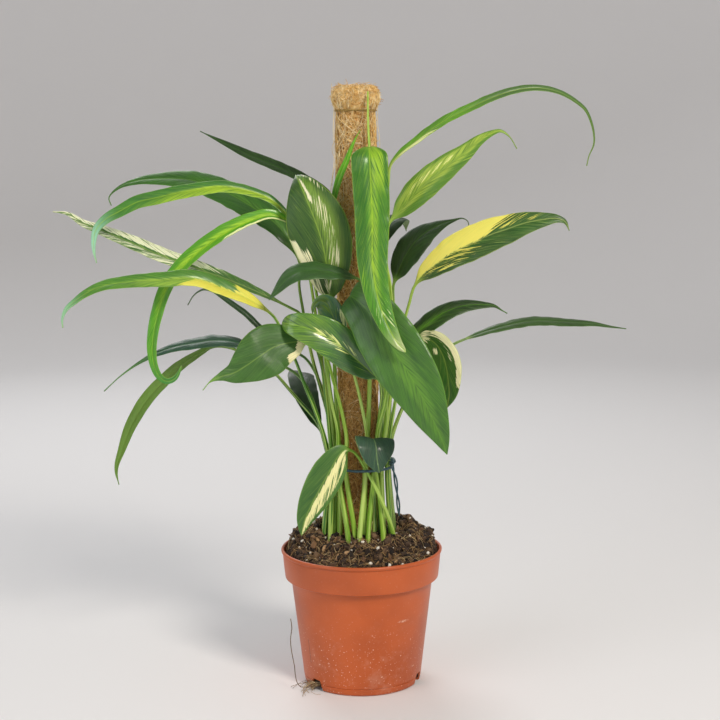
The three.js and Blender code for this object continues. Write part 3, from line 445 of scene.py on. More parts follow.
        soil=(14, 21.5), tie=(16, 21.5), width=3.4, widest=0.2, taper=0.6, face=(0, 0, 1), fold=0,
        rolled=True,
        stalk=[(7, 240, 22), (9, 300, 24), (8, 380, 25), (9, 440, 24)],
        blade=[(10, 480, 24), (10, 493, 24), (9, 518, 24), (9, 545, 24)],
    ),
}


def leaf_frames(leaf, stalk_steps, blade_steps):
    """Places, upper sides and left sides at equal steps along a stalk and its blade."""
    stem = [
        round_pole(leaf["soil"], ROOT_HEIGHT),
        round_pole(leaf["soil"], COLLAR_HEIGHT),
        *[seen(p) for p in leaf.get("low", ())],
        round_pole(leaf["tie"], TIE_HEIGHT),
        *[seen(p) for p in leaf["stalk"]],
    ]
    route = catmull([*stem, *[seen(p) for p in leaf["blade"]]], 24)
    lengths = np.concatenate([[0], np.cumsum(np.linalg.norm(np.diff(route, axis=0), axis=1))])
    base = lengths[len(stem) * 24]
    want = np.concatenate(
        [np.linspace(0, base, stalk_steps, endpoint=False), np.linspace(base, lengths[-1], blade_steps + 1)]
    )
    at = np.stack([np.interp(want, lengths, route[:, i]) for i in range(3)], axis=1)
    along = np.gradient(route, lengths, axis=0)
    along = np.stack([np.interp(want, lengths, along[:, i]) for i in range(3)], axis=1)
    along /= np.linalg.norm(along, axis=1, keepdims=True)
    right, high, front = leaf["face"]
    up = np.zeros_like(at)
    up[stalk_steps] = (right, -front, high)

    def carry(source, i):
        """Turns an upper side as little as possible, so that it stands square on the leaf's direction."""
        flat = source - source.dot(along[i]) * along[i]
        up[i] = flat / np.linalg.norm(flat)

    carry(up[stalk_steps].copy(), stalk_steps)
    for i in range(stalk_steps + 1, len(at)):
        carry(up[i - 1], i)
    for i in range(stalk_steps - 1, -1, -1):
        carry(up[i + 1], i)
    share = np.clip((np.arange(len(at)) - stalk_steps) / blade_steps, 0, 1)
    turn = np.radians(leaf.get("turn", 0)) * share[:, None]
    up = up * np.cos(turn) + np.cross(along, up) * np.sin(turn)
    return at, up, np.cross(up, along), share, want - base


def half_width(leaf, share):
    """Half the blade's width at each share of its length, never less than the stalk is thick."""
    widest = leaf["widest"]
    rise = np.sin(math.pi / 2 * np.minimum(1, share / widest)) ** 0.8
    fall = np.maximum(0, np.cos(math.pi / 2 * np.maximum(0, share - widest) / (1 - widest))) ** leaf["taper"]
    wide = leaf["width"] * MM / 2 * np.where(share < widest, rise, fall)
    return np.maximum(wide, np.where(share < widest, STALK_NECK, 0.0004))


def leaf_piece(name, leaf, finish, stalk_steps, blade_steps, half, seed):
    """One leaf: a round stalk that opens into a thin folded blade, its midrib grooved, its margin rippled."""
    at, up, left, share, reach_along = leaf_frames(leaf, stalk_steps, blade_steps)
    rng = np.random.default_rng(seed)
    rows = len(at)
    stalk = np.minimum(1, np.arange(rows) / stalk_steps)
    radius = STALK_FOOT + (STALK_NECK - STALK_FOOT) * smooth(0.1, 1, stalk)
    rolled = leaf.get("rolled", False)
    if rolled:
        radius = np.where(share > 0, radius + (0.0007 - radius) * share, radius)
    opened = np.zeros(rows) if rolled else smooth(0, 0.12, share)
    wide = half_width(leaf, share)
    lift = np.radians(leaf["fold"]) * (1 - 0.3 * share)
    wave = np.sin(2 * math.pi * leaf.get("waves", 0) * share) * smooth(0, 0.2, share) * (1 - share)
    side = np.concatenate([np.linspace(-1, 1, half), np.linspace(1, -1, half)])
    side = np.sign(side) * np.abs(side) ** 0.85
    top = np.concatenate([np.ones(half), np.zeros(half)])
    far = np.abs(side)[None, :]
    w, a = wide[:, None], lift[:, None]
    phases = rng.uniform(0, 2 * math.pi, 4)

    def ripple_of(shift, long_phase, short_phase):
        """The margin's waves, 21 and 12.5 mm long."""
        long_wave = np.sin(reach_along * (2 * math.pi / 0.021) + shift + long_phase)
        short_wave = np.sin(reach_along * (2 * math.pi / 0.0125) + 2.1 * shift + short_phase)
        return (long_wave + 0.7 * short_wave)[:, None]

    rippled = np.where(side[None, :] < 0, ripple_of(0, *phases[:2]), ripple_of(1.3, *phases[2:]))
    rippling = (smooth(0.02, 0.25, share) * (1 - share))[:, None]
    ripple = rippled * far**3 * np.minimum(0.0006, w * 0.045) * rippling
    ribbed = reach_along[:, None] - 3.0 * far * w * (1 + 10 * far * w)
    veins = np.abs(np.sin(ribbed * math.pi / 0.022)) ** 0.5 * far * (1 - far) * 4
    normal = far * w * np.sin(a) - w * 0.16 * far**2 + wave[:, None] * 0.09 * w * far**2 + ripple
    normal = normal + 0.00022 * veins * smooth(0.05, 0.2, share)[:, None]
    groove = np.exp(-((far * w / 0.0011) ** 2)) * (1 - 0.6 * share[:, None])
    skin = (BLADE_SKIN + (BLADE_EDGE - BLADE_SKIN) * far**2) / 2
    sign = np.where(top > 0, 1.0, -1.0)[None, :]
    lean = np.sign(side)[None, :] * np.sin(a) * np.minimum(1, far * 6)
    blade_x = side[None, :] * w * np.cos(a) - sign * skin * lean
    blade_n = normal + sign * skin - np.where(top > 0, 0.00028, 0.0009)[None, :] * groove
    angle = math.pi - (np.arange(2 * half) + 0.5) * math.pi / half
    r = radius[:, None]
    dip = 0.16 * np.exp(-(((angle - math.pi / 2) / 0.5) ** 2))
    groove_stalk = 1 - dip[None, :] * smooth(0.2, 0.6, stalk)[:, None]
    x = r * np.cos(angle)[None, :] * (1 - opened[:, None]) + blade_x * opened[:, None]
    n = r * groove_stalk * np.sin(angle)[None, :] * (1 - opened[:, None]) + blade_n * opened[:, None]
    points = at[:, None, :] + left[:, None, :] * x[..., None] + up[:, None, :] * n[..., None]
    points, faces = capped(points, points[0].mean(axis=0), points[-1].mean(axis=0))
    faces = [face[::-1] for face in faces]
    sides = 2 * half
    cross = side[None, :] * w
    curved = reach_along[:, None] - 3.0 * np.abs(cross) * (1 + 10 * np.abs(cross))

    def spread(grid):
        """Values for every point of the loft, and nothing for the two points that close its ends."""
        return np.concatenate([np.broadcast_to(grid, (rows, sides)).ravel(), [0, 0]])

    place = np.stack([spread(curved), spread(cross), spread(reach_along[:, None])], axis=1)
    round_part = np.where(opened[:, None] < 0.5, angle[None, :] * 0.001, 0.0)
    part = np.stack([spread(top[None, :]), spread(opened[:, None]), spread(share[:, None])], axis=1)
    edge = np.stack([spread(far), spread(round_part), np.zeros(rows * sides + 2)], axis=1)
    patch = np.stack([spread(kind) for kind in leaf_patches(name, share, side)], axis=1)
    values = {"place": place, "part": part, "edge": edge, "patch": patch}
    return form(name + "_fine", points, faces, finish, stands_for=(name,), values=values)


# Each leaf's colours, where they aren't the plain ones. green and deep mottle the blade, light marks its
# streaks and veins, cream its pale patches. base and tip are a colour and the share of the length where it
# ends or begins. streak, shine and rib are the strengths of the streaks, the gloss and the midrib. On a few
# leaves some base colours and patches are painted light and shade, as noted there.
LOOKS = {
    "plain": dict(
        green="3D762A", deep="29571F", light="7BA33E", cream="E9E6B4", under="7F9A55", stalk="7BA537",
        stripe="B6D268", streak=0.3, base=("5C8A35", 0.03), tip=("4F8A3C", 1.1), shine=0.2, rib=0.35,
        patches=(),
    ),
    "leaf_left_01": dict(
        green="28431A", deep="1A2E12", light="406C26", streak=0.15, shine=0.1, stalk="416D27",
    ),
    "leaf_left_02": dict(
        green="386A23", deep="214918", light="699B32", stalk="47732A",
        patches=(("dark", -0.1, 0.5, -0.1, 1.2, 0.15, 0.7), ("glow", 0.1, 0.55, -0.25, 0.0, 0.1, 0.4)),
    ),
    "leaf_left_03": dict(
        green="417F30", deep="2D6228", light="A2C530", base=("5F8A28", 0.12), tip=("97CFAE", 0.86),
        under="9BD0A8", stalk="76A228", shine=0.3,
        patches=(("glow", 0.12, 0.56, -0.2, 1.3, 0.12, 1.0, 0.1), ("dark", 0.0, 0.35, -1.2, -0.4, 0.12, 0.6)),
    ),
    "leaf_left_04": dict(
        green="5AA01E", deep="38801A", light="A4CF35", cream="E6ECB0", streak=0.45, tip=("3F8035", 0.88),
        stalk="76A628", under="86B04A", shine=0.3,
        patches=(
            ("pale", 0.06, 0.34, 0.7, 1.3, 0.06, 0.95), ("glow", 0.1, 0.62, -0.35, 0.35, 0.15, 0.9),
            ("dark", 0.2, 0.8, -1.2, -0.6, 0.15, 0.6),
        ),
    ),
    "leaf_left_05": dict(
        green="487932", deep="315C28", light="B5C975", cream="E9ECCB", streak=0.6, stalk="4E7C2A",
        patches=(
            ("pale", 0.28, 1.1, -1.3, -0.2, 0.14, 0.66), ("pale", 0.34, 1.1, 0.1, 1.3, 0.12, 0.52),
            ("dark", -0.1, 0.3, -1.2, 1.2, 0.15, 0.7),
        ),
    ),
    "leaf_left_06": dict(
        green="4F872F", deep="396F24", light="A1C449", cream="E2DA56", streak=0.4, base=("DCD654", 0.02),
        tip=("98D0A8", 0.9), stalk="427C24", shine=0.3,
        patches=(
            ("pale", -0.1, 0.2, -1.2, 1.2, 0.05, 1.0), ("pale", 0.05, 0.38, -0.15, 1.3, 0.08, 0.8, 0.08),
            ("glow", 0.25, 0.6, -0.2, 0.9, 0.15, 0.8), ("dark", 0.12, 0.4, -1.2, -0.3, 0.08, 0.7),
        ),
    ),
    "leaf_left_07": dict(
        green="2C4C2B", deep="203A21", light="476E39", streak=0.15, stalk="345F32", shine=0.1,
    ),
    "leaf_left_08": dict(
        green="2A4C3C", deep="1F372A", light="4C7B3E", streak=0.25, stalk="34602A", tip=("4F7F3C", 0.7),
    ),
    "leaf_left_09": dict(
        green="577C30", deep="436C27", light="81A13B", under="6B8E3A", stalk="346024", rib=0.2,
    ),
    "leaf_left_10": dict(
        green="406A2C", deep="2D5422", light="7B9B44", cream="EDE6B4", streak=0.2, tip=("7FB04C", 0.88),
        shine=0.05, stalk="83AC32", under="7FA048", rib=0.5,
        patches=(
            ("pale", -0.1, 0.12, -1.2, 1.2, 0.03, 1.0, 0.05), ("pale", 0.02, 0.24, 0.55, 1.3, 0.04, 0.95),
            ("dark", 0.15, 0.7, -0.5, 0.5, 0.2, 0.5),
        ),
    ),
    "leaf_left_11": dict(
        # painted shade: these very dark greens are partly the leaf's own dark green and partly the shade it
        # hangs in, behind the stalks
        green="20401A", deep="142A10", light="3F6B25", streak=0.2, stalk="2F5E20", shine=0.0,
    ),
    "leaf_front_01": dict(
        green="426E22", deep="274622", light="98B845", cream="EDE9C2", streak=0.35, base=("5F8A3A", 0.03),
        shine=0.05, stalk="709C2E", under="7F9A5A", rib=0.45,
        patches=(
            # painted shade: the dark patch along the right margin, from -1.3 to -0.6 across, is the shadow
            # that leaf_front_06 casts on this blade and its darkening towards the right edge
            ("dark", -0.1, 1.1, 0.03, 1.3, 0.05, 0.85), ("dark", -0.1, 0.9, -1.3, -0.6, 0.2, 0.7),
            ("pale", 0.0, 0.5, 0.8, 1.3, 0.06, 1.0), ("pale", 0.0, 0.42, 0.45, 0.95, 0.08, 0.6),
            ("pale", 0.68, 0.92, -0.27, -0.04, 0.05, 0.74), ("pale", 0.2, 0.78, -0.6, -0.12, 0.12, 0.46),
            ("glow", 0.15, 0.85, -0.75, 0.0, 0.14, 0.55), ("pale", 0.0, 0.22, -0.3, 0.3, 0.06, 0.5),
            ("pale", 0.72, 0.95, -1.0, -0.7, 0.05, 0.45),
        ),
    ),
    "leaf_front_02": dict(green="385C2C", deep="294723", light="527C34", streak=0.15, stalk="477728"),
    "leaf_front_03": dict(
        green="3B721A", deep="1A4A24", light="8DB436", cream="DDE68C", streak=0.5, shine=1.0, stalk="598A28",
        # painted sheen: the dark bluish base colour stands for the glossy leaf's bluish sheen
        base=("2A5A3A", 0.06), rib=0.5,
        patches=(
            ("dark", -0.1, 0.42, -1.2, 1.2, 0.14, 0.95), ("glow", 0.62, 1.1, -0.9, 1.2, 0.14, 0.35),
            # painted highlight: the pale patch down the middle is partly the leaf's pale centre and partly a
            # painted white glint
            ("pale", 0.3, 0.75, -0.3, 0.3, 0.12, 0.52),
        ),
    ),
    "leaf_front_04": dict(
        # painted sheen: the blue-green deep and base colours are partly the leaf's own dark green and partly
        # a painted bluish sheen of its gloss
        green="597B2C", deep="205D5A", light="8AA43E", cream="DDE6A8", streak=0.4, shine=0.9, stalk="97B948",
        base=("2C6A50", 0.2),
        patches=(("pale", 0.2, 0.6, -1.3, -0.5, 0.08, 0.6), ("dark", 0.1, 0.5, -0.6, 1.2, 0.1, 0.7)),
    ),
    "leaf_front_05": dict(
        # painted shade and sheen: the dark bluish base colour, and the dark patch on the left half near the
        # base, stand for the dark bluish sheen where the blade bends over
        green="437226", deep="2B4F26", light="74A636", streak=0.12, base=("27493A", 0.04), shine=0.3,
        stalk="88B03D", under="5F8A4A", rib=0.25,
        patches=(("dark", -0.1, 0.34, -1.2, -0.05, 0.14, 0.9), ("glow", 0.42, 0.9, -0.35, 0.3, 0.18, 0.4)),
    ),
    "leaf_front_06": dict(
        green="468A1A", deep="225E18", light="A6CC34", cream="D5DFA8", streak=0.5, tip=("A9B87C", 0.93),
        shine=0.3, stalk="75A228", rib=0.5,
        patches=(
            # painted light and shade: the first glow, on the right half near the blade's base, is the lit
            # half of the folded blade, and the first dark patch, on the left half, is its shaded half
            ("glow", -0.1, 0.26, 0.04, 0.75, 0.06, 0.8), ("dark", -0.1, 0.64, -1.3, -0.3, 0.14, 0.95),
            ("dark", -0.1, 0.5, 0.78, 1.3, 0.1, 0.75), ("glow", 0.25, 0.72, -0.15, 0.35, 0.14, 0.6),
            # painted sheen: the dark patch halfway down on the right half stands for a dark bluish sheen
            ("dark", 0.3, 0.62, 0.45, 1.2, 0.14, 0.6), ("pale", 0.7, 1.1, -0.7, 0.8, 0.14, 0.4),
        ),
    ),
    "leaf_front_07": dict(green="59A01D", deep="3D851A", light="A3CF4B", streak=0.4, stalk="709E28"),
    "leaf_right_01": dict(
        green="5B9524", deep="406C23", light="A3C743", cream="DCE6A0", tip=("4B6E34", 0.42), stalk="8BB43D",
        patches=(("pale", 0.0, 0.26, -1.3, -0.2, 0.08, 0.7),),
    ),
    "leaf_right_02": dict(
        green="5E8C2C", deep="457427", light="B0C74D", cream="DDE38E", streak=0.5, stalk="8DB43D",
        under="8AA850",
        patches=(
            ("glow", 0.1, 0.8, 0.1, 0.75, 0.14, 0.85), ("glow", 0.05, 0.95, -0.4, -0.06, 0.1, 0.75),
            ("pale", 0.14, 0.6, 0.18, 0.6, 0.1, 0.47), ("dark", 0.0, 0.7, -1.2, -0.6, 0.1, 0.5),
        ),
    ),
    "leaf_right_03": dict(
        green="213D16", deep="14280D", light="456B23", streak=0.2, stalk="598032", shine=0.0,
        patches=(("dark", -0.1, 0.6, -0.1, 1.2, 0.15, 0.7),),
    ),
    "leaf_right_04": dict(
        green="315D23", deep="1E4215", light="B5C96B", cream="E8DE66", streak=0.42, stalk="8DB23D",
        base=("E4DD52", 0.02),
        patches=(
            ("pale", -0.1, 0.5, 0.0, 1.3, 0.05, 1.0, 0.17), ("pale", 0.0, 0.5, -0.8, -0.1, 0.12, 0.46),
            ("pale", 0.5, 0.82, 0.1, 1.1, 0.1, 0.42), ("dark", -0.1, 0.6, -1.2, -0.3, 0.12, 0.6),
        ),
    ),
    "leaf_right_05": dict(
        green="264418", deep="162D0D", light="629B28", streak=0.25, stalk="427224", shine=0.25,
        patches=(("glow", 0.05, 0.45, -0.3, 0.3, 0.12, 0.5), ("dark", 0.3, 1.1, 0.1, 1.2, 0.12, 0.7)),
    ),
    "leaf_right_06": dict(green="375724", deep="27411A", light="537B32", streak=0.25, stalk="34602A"),
    "leaf_right_07": dict(
        green="33611F", deep="244A18", light="97AE4B", cream="E9E6B8", streak=0.35, stalk="598A2E",
        patches=(
            ("pale", -0.1, 0.2, -0.7, 1.3, 0.1, 0.62), ("pale", 0.16, 0.8, 0.62, 1.3, 0.08, 0.86),
            ("pale", 0.1, 0.55, 0.3, 0.75, 0.1, 0.5), ("pale", 0.28, 0.4, -0.5, -0.15, 0.04, 0.62),
        ),
    ),
    "leaf_right_08": dict(
        green="213F1A", deep="152A10", light="37602A", streak=0.1, stalk="346027", shine=0.0,
    ),
    "leaf_low_01": dict(
        green="4A7830", deep="2C5824", light="9CB552", cream="ECE8A8", stalk="78A532",
        patches=(
            ("pale", -0.02, 1.02, 0.04, 0.42, 0.05, 0.8), ("pale", 0.05, 1.0, 0.4, 0.8, 0.1, 0.56),
            ("dark", 0.15, 0.95, -0.9, 0.0, 0.2, 0.7),
        ),
    ),
    "leaf_low_02": dict(
        green="2A4C3A", deep="1F372A", light="769559", streak=0.12, stalk="83AC32", rib=0.6, cream="B4C9A0",
        patches=(("pale", 0.1, 0.9, -0.16, 0.1, 0.1, 0.46),),
    ),
    "new_leaf_spear": dict(green="AEC552", deep="97B243", light="CCD973", streak=0.4, stalk="8DB43D"),
}


def look_of(name):
    """A leaf's look: the plain one with what is its own."""
    return {**LOOKS["plain"], **LOOKS.get(name, {})}


def leaf_patches(name, share, side):
    """How strongly each point of a blade is pale, glowing or dark. A patch runs from and to along the blade,
    then from and to across it. Next come how soft its ends are, how full it is and how far it slants. On a
    few blades a glowing, dark or pale patch is painted light and shade: the lit and the shaded half of a
    folded blade, a sheen, a cast shadow, a glint."""
    shares, sides = share[:, None], side[None, :]
    weights = {kind: np.zeros((len(share), len(side))) for kind in ("pale", "glow", "dark")}
    for kind, s0, s1, c0, c1, soft, full, *slant in look_of(name)["patches"]:
        shifted = shares - (slant[0] if slant else 0) * sides
        along_part = smooth(s0 - soft, s0 + soft, shifted) * (1 - smooth(s1 - soft, s1 + soft, shifted))
        across_part = smooth(c0 - 0.09, c0 + 0.09, sides) * (1 - smooth(c1 - 0.09, c1 + 0.09, sides))
        weights[kind] = np.maximum(weights[kind], full * along_part * across_part)
    return weights["pale"], weights["glow"], weights["dark"]


def leaf_finish(name, seed):
    """Living leaf: a waxy cuticle gives a soft satin light, side veins run far forward from the midrib, and
    paler cells lie in long streaks and patches between them. On a few blades some patches and base colours
    are painted light and shade instead: a lit and a shaded half, a bluish sheen, a cast shadow, a glint."""
    look = look_of(name)
    light, deep, streak = look["light"], look["deep"], look["streak"]
    material, tree = finish_of(f"waxy_living_{name}")
    keys = ("place", "part", "edge", "patch")
    place, part, edge, patch = (
        add(tree, "Attribute", {"attribute_name": key}).outputs["Vector"] for key in keys
    )
    curved, cross, along = add(tree, "SeparateXYZ", links={0: place}).outputs
    top, opened, share = add(tree, "SeparateXYZ", links={0: part}).outputs
    far, angle, _ = add(tree, "SeparateXYZ", links={0: edge}).outputs
    pale, glow, dark = add(tree, "SeparateXYZ", links={0: patch}).outputs
    shift = (3.7 * seed, 1.9 * seed, 0.0)
    # streaks about 1 mm wide and 30 mm long, which follow the side veins
    streaks = add(tree, "VectorMath", {"operation": "MULTIPLY_ADD", 1: (260, 120, 0), 2: shift}, {0: place})
    streak_noise = add(
        tree, "TexNoise", {"Scale": 1.0, "Detail": 4.0, "Roughness": 0.62}, {"Vector": streaks}
    )
    clouds = add(tree, "VectorMath", {"operation": "MULTIPLY_ADD", 1: (34, 110, 30), 2: shift}, {0: place})
    cloud_noise = add(tree, "TexNoise", {"Scale": 1.0, "Detail": 3.0}, {"Vector": clouds})
    # fine lines between the veins, 0.4 mm apart
    lines = add(tree, "VectorMath", {"operation": "MULTIPLY", 1: (760, 140, 0)}, {0: place})
    line_noise = add(tree, "TexNoise", {"Scale": 1.0, "Detail": 1.0}, {"Vector": lines})
    # side veins 3 mm apart
    vein_step = add(tree, "Math", {"operation": "PINGPONG", 1: 0.0055}, {0: curved})
    soft = {"interpolation_type": "SMOOTHSTEP"}
    veins = add(
        tree, "MapRange", {**soft, "From Min": 0.0, "From Max": 0.0014, "To Min": 1.0, "To Max": 0.0},
        {"Value": vein_step},
    )
    clouded = add(
        tree, "MapRange", {"From Min": 0.42, "From Max": 0.72, "To Max": 0.75}, {"Value": cloud_noise}
    )
    blade = add(
        tree, "Mix", {"data_type": "RGBA", "A": linear(look["green"]), "B": linear(deep)}, {"Factor": clouded}
    )
    broken = add(
        tree, "MapRange", {"From Min": 0.3, "From Max": 0.6, "To Min": 0.45}, {"Value": streak_noise}
    )
    fleck_at = 0.72 - 0.26 * streak
    flecks = add(
        tree, "MapRange", {**soft, "From Min": fleck_at, "From Max": fleck_at + 0.14},
        {"Value": streak_noise},
    )
    fine_ends = {"From Min": 0.45, "From Max": 0.8, "To Max": 0.3}
    deep_ends = {"From Min": 0.36, "From Max": 0.48, "To Min": 0.35 + 0.65 * streak, "To Max": 0.0}
    # glowing and dark patches, broken by the streaks; on a few blades these are painted light and shade: a
    # lit half, a shaded half, a sheen, a cast shadow
    layers = (
        (add(tree, "Math", {"operation": "MULTIPLY"}, {0: glow, 1: broken}), light),
        (add(tree, "Math", {"operation": "MULTIPLY"}, {0: dark, 1: broken}), deep),
        (add(tree, "Math", {"operation": "MULTIPLY", 1: 0.4}, {0: veins}), deep),
        (add(tree, "MapRange", fine_ends, {"Value": line_noise}), light),
        (add(tree, "Math", {"operation": "MULTIPLY", 1: min(0.9, 0.3 + streak)}, {0: flecks}), light),
        (add(tree, "MapRange", {**soft, **deep_ends}, {"Value": streak_noise}), deep),
    )
    for weight, code in layers:
        blade = add(tree, "Mix", {"data_type": "RGBA", "B": linear(code)}, {"Factor": weight, "A": blade})
    # pale patches with ragged ends, crossed by fine green lines; on leaf_front_03 the pale patch is partly a
    # painted glint
    ragged = add(tree, "Math", {"operation": "MULTIPLY_ADD", 1: 1.5, 2: -0.75}, {0: streak_noise})
    ragged = add(tree, "Math", {"operation": "ADD"}, {0: ragged, 1: pale})
    ragged = add(tree, "MapRange", {**soft, "From Min": 0.46, "From Max": 0.6}, {"Value": ragged})
    lined = add(tree, "MapRange", {"From Min": 0.45, "From Max": 0.8, "To Max": 0.45}, {"Value": line_noise})
    cream = add(
        tree, "Mix", {"data_type": "RGBA", "A": linear(look["cream"]), "B": linear(light)}, {"Factor": lined}
    )
    blade = add(tree, "Mix", {"data_type": "RGBA"}, {"Factor": ragged, "A": blade, "B": cream})
    # the base, the tip, the midrib, 1.2 mm wide, and a thin pale margin; on a few blades the base colour is a
    # painted bluish sheen
    base, base_at = look["base"]
    tip, tip_at = look["tip"]
    base_ends = {"From Min": base_at - 0.09, "From Max": base_at + 0.09, "To Min": 1.0, "To Max": 0.0}
    rib_ends = {"From Min": 0.0002, "From Max": 0.0009, "To Min": look["rib"], "To Max": 0.0}
    rib_side = add(tree, "Math", {"operation": "ABSOLUTE"}, {0: cross})
    ends = (
        ({**soft, **base_ends}, share, base),
        ({**soft, "From Min": tip_at - 0.09, "From Max": tip_at + 0.09}, share, tip),
        ({**soft, **rib_ends}, rib_side, light),
        ({"From Min": 0.955, "From Max": 0.985, "To Max": 0.45}, far, light),
    )
    for settings, value, code in ends:
        weight = add(tree, "MapRange", settings, {"Value": value})
        blade = add(tree, "Mix", {"data_type": "RGBA", "B": linear(code)}, {"Factor": weight, "A": blade})
    below = add(tree, "Mix", {"data_type": "RGBA", "Factor": 0.6, "B": linear(look["under"])}, {"A": blade})
    both = add(tree, "Mix", {"data_type": "RGBA"}, {"Factor": top, "A": below, "B": blade})
    # pale lines along the stalk
    around = add(tree, "CombineXYZ", links={"X": angle, "Y": along})
    around = add(tree, "VectorMath", {"operation": "MULTIPLY_ADD", 1: (1500, 14, 0), 2: shift}, {0: around})
    stalk_noise = add(tree, "TexNoise", {"Scale": 1.0, "Detail": 3.0}, {"Vector": around})
    striped = add(
        tree, "MapRange", {"From Min": 0.48, "From Max": 0.58, "To Max": 0.85}, {"Value": stalk_noise}
    )
    stalk = add(
        tree, "Mix", {"data_type": "RGBA", "A": linear(look["stalk"]), "B": linear(look["stripe"])},
        {"Factor": striped},
    )
    colour = add(tree, "Mix", {"data_type": "RGBA"}, {"Factor": opened, "A": stalk, "B": both})
    rough = add(tree, "MapRange", {"To Min": 0.36, "To Max": 0.52}, {"Value": cloud_noise})
    rise = add(tree, "Math", {"operation": "MULTIPLY_ADD", 1: -0.6}, {0: veins, 2: line_noise})
    bump = add(tree, "Bump", {"Strength": 0.4, "Distance": 0.0003}, {"Height": rise})
    surface(
        tree,
        {
            "IOR": 1.45, "Specular IOR Level": 0.35, "Coat Weight": look["shine"], "Coat Roughness": 0.18,
            "Subsurface Weight": 0.1, "Subsurface Scale": 0.001, "Subsurface Radius": (0.6, 1.0, 0.3),
        },
        {"Base Color": colour, "Roughness": rough, "Normal": bump},
    )
    return material


def pot_finish(plastic, darker):
    """Injection-moulded polypropylene, terracotta coloured: smooth and satin, with specks of limescale and a
    dull scuff."""
    material, tree = finish_of("moulded_polypropylene_pot")
    where = add(tree, "NewGeometry").outputs["Position"]
    x, y, z = add(tree, "SeparateXYZ", links={0: where}).outputs
    cloud = add(tree, "TexNoise", {"Scale": 16.0, "Detail": 3.0}, {"Vector": where})
    cloud = add(tree, "MapRange", {"From Min": 0.4, "From Max": 0.65}, {"Value": cloud})
    body = add(tree, "Mix", {"data_type": "RGBA", "A": plastic, "B": darker}, {"Factor": cloud})
    # limescale specks about 1 mm across, mostly on the lower half
    specks = add(tree, "TexNoise", {"Scale": 620.0, "Detail": 2.0}, {"Vector": where})
    specks = add(tree, "MapRange", {"From Min": 0.66, "From Max": 0.72}, {"Value": specks})
    fade = {"From Min": 0.085, "From Max": 0.02, "To Min": 0.1, "To Max": 0.9}
    low = add(tree, "MapRange", {"interpolation_type": "SMOOTHSTEP", **fade}, {"Value": z})
    haze = add(tree, "TexNoise", {"Scale": 48.0, "Detail": 6.0, "Roughness": 0.7}, {"Vector": where})
    haze = add(tree, "MapRange", {"From Min": 0.52, "From Max": 0.78, "To Max": 0.26}, {"Value": haze})
    chalk = add(tree, "Math", {"operation": "MAXIMUM"}, {0: specks, 1: haze})
    chalk = add(tree, "Math", {"operation": "MULTIPLY"}, {0: chalk, 1: low})
    # the scuff, about 9 by 1.5 mm, at the front right
    offset = add(tree, "VectorMath", {"operation": "SUBTRACT", 1: (0.037, -0.0455, 0.0698)}, {0: where})
    offset = add(tree, "VectorMath", {"operation": "MULTIPLY", 1: (210, 60, 900)}, {0: offset})
    near = add(tree, "VectorMath", {"operation": "LENGTH"}, {0: offset})
    rubbed = add(
        tree, "MapRange", {"From Min": 1.3, "From Max": 0.5, "To Max": 0.8}, {"Value": near.outputs["Value"]}
    )
    worn = add(tree, "TexNoise", {"Scale": 900.0, "Detail": 2.0}, {"Vector": where})
    worn = add(tree, "MapRange", {"From Min": 0.4, "From Max": 0.6}, {"Value": worn})
    rubbed = add(tree, "Math", {"operation": "MULTIPLY"}, {0: rubbed, 1: worn})
    chalk = add(tree, "Math", {"operation": "MAXIMUM"}, {0: chalk, 1: rubbed})
    colour = add(tree, "Mix", {"data_type": "RGBA", "B": linear("E9C9B4")}, {"Factor": chalk, "A": body})
    # the short dark line that the mould's joint leaves at the left, 0.5 mm wide
    toward = add(tree, "Math", {"operation": "MULTIPLY", 1: -1.0}, {0: y})
    around = add(tree, "Math", {"operation": "ARCTAN2"}, {0: x, 1: toward})
    beside = add(tree, "Math", {"operation": "ADD", 1: 0.972}, {0: around})
    beside = add(tree, "Math", {"operation": "ABSOLUTE"}, {0: beside})
    joint = add(tree, "MapRange", {"From Min": 0.009, "From Max": 0.004, "To Max": 0.7}, {"Value": beside})
    above = add(tree, "Math", {"operation": "ADD", 1: -0.0365}, {0: z})
    above = add(tree, "Math", {"operation": "ABSOLUTE"}, {0: above})
    short = add(tree, "MapRange", {"From Min": 0.0125, "From Max": 0.0105}, {"Value": above})
    joint = add(tree, "Math", {"operation": "MULTIPLY"}, {0: joint, 1: short})
    colour = add(tree, "Mix", {"data_type": "RGBA", "B": linear("5E2A16")}, {"Factor": joint, "A": colour})
    rough = add(tree, "MapRange", {"To Min": 0.38, "To Max": 0.7}, {"Value": chalk})
    grain = add(tree, "TexNoise", {"Scale": 1400.0, "Detail": 2.0}, {"Vector": where})
    waviness = add(tree, "TexNoise", {"Scale": 22.0, "Detail": 1.0}, {"Vector": where})
    height = add(tree, "Math", {"operation": "MULTIPLY_ADD", 1: 6.0}, {0: waviness, 2: grain})
    bump = add(tree, "Bump", {"Strength": 0.25, "Distance": 0.0001}, {"Height": height})
    surface(tree, {"IOR": 1.49}, {"Base Color": colour, "Roughness": rough, "Normal": bump})
    return material


def mottled_finish(name, first, second, scale, rough, bump_mm, bump_scale):
    """A dry natural material of two colours in patches of about 1 / scale metres, with a matte rough face."""
    material, tree = finish_of(name)
    where = add(tree, "NewGeometry").outputs["Position"]
    patches = add(tree, "TexNoise", {"Scale": scale, "Detail": 4.0, "Roughness": 0.6}, {"Vector": where})
    factor = add(tree, "MapRange", {"From Min": 0.38, "From Max": 0.62}, {"Value": patches})
    colour = add(tree, "Mix", {"data_type": "RGBA", "A": first, "B": second}, {"Factor": factor})
    relief = add(tree, "TexNoise", {"Scale": bump_scale, "Detail": 4.0}, {"Vector": where})
    bump = add(tree, "Bump", {"Strength": 0.8, "Distance": bump_mm * MM}, {"Height": relief})
    dull = add(
        tree, "MapRange", {"To Min": rough - 0.1, "To Max": min(1.0, rough + 0.08)}, {"Value": patches}
    )
    surface(tree, {"IOR": 1.45}, {"Base Color": colour, "Roughness": dull, "Normal": bump})
    return material


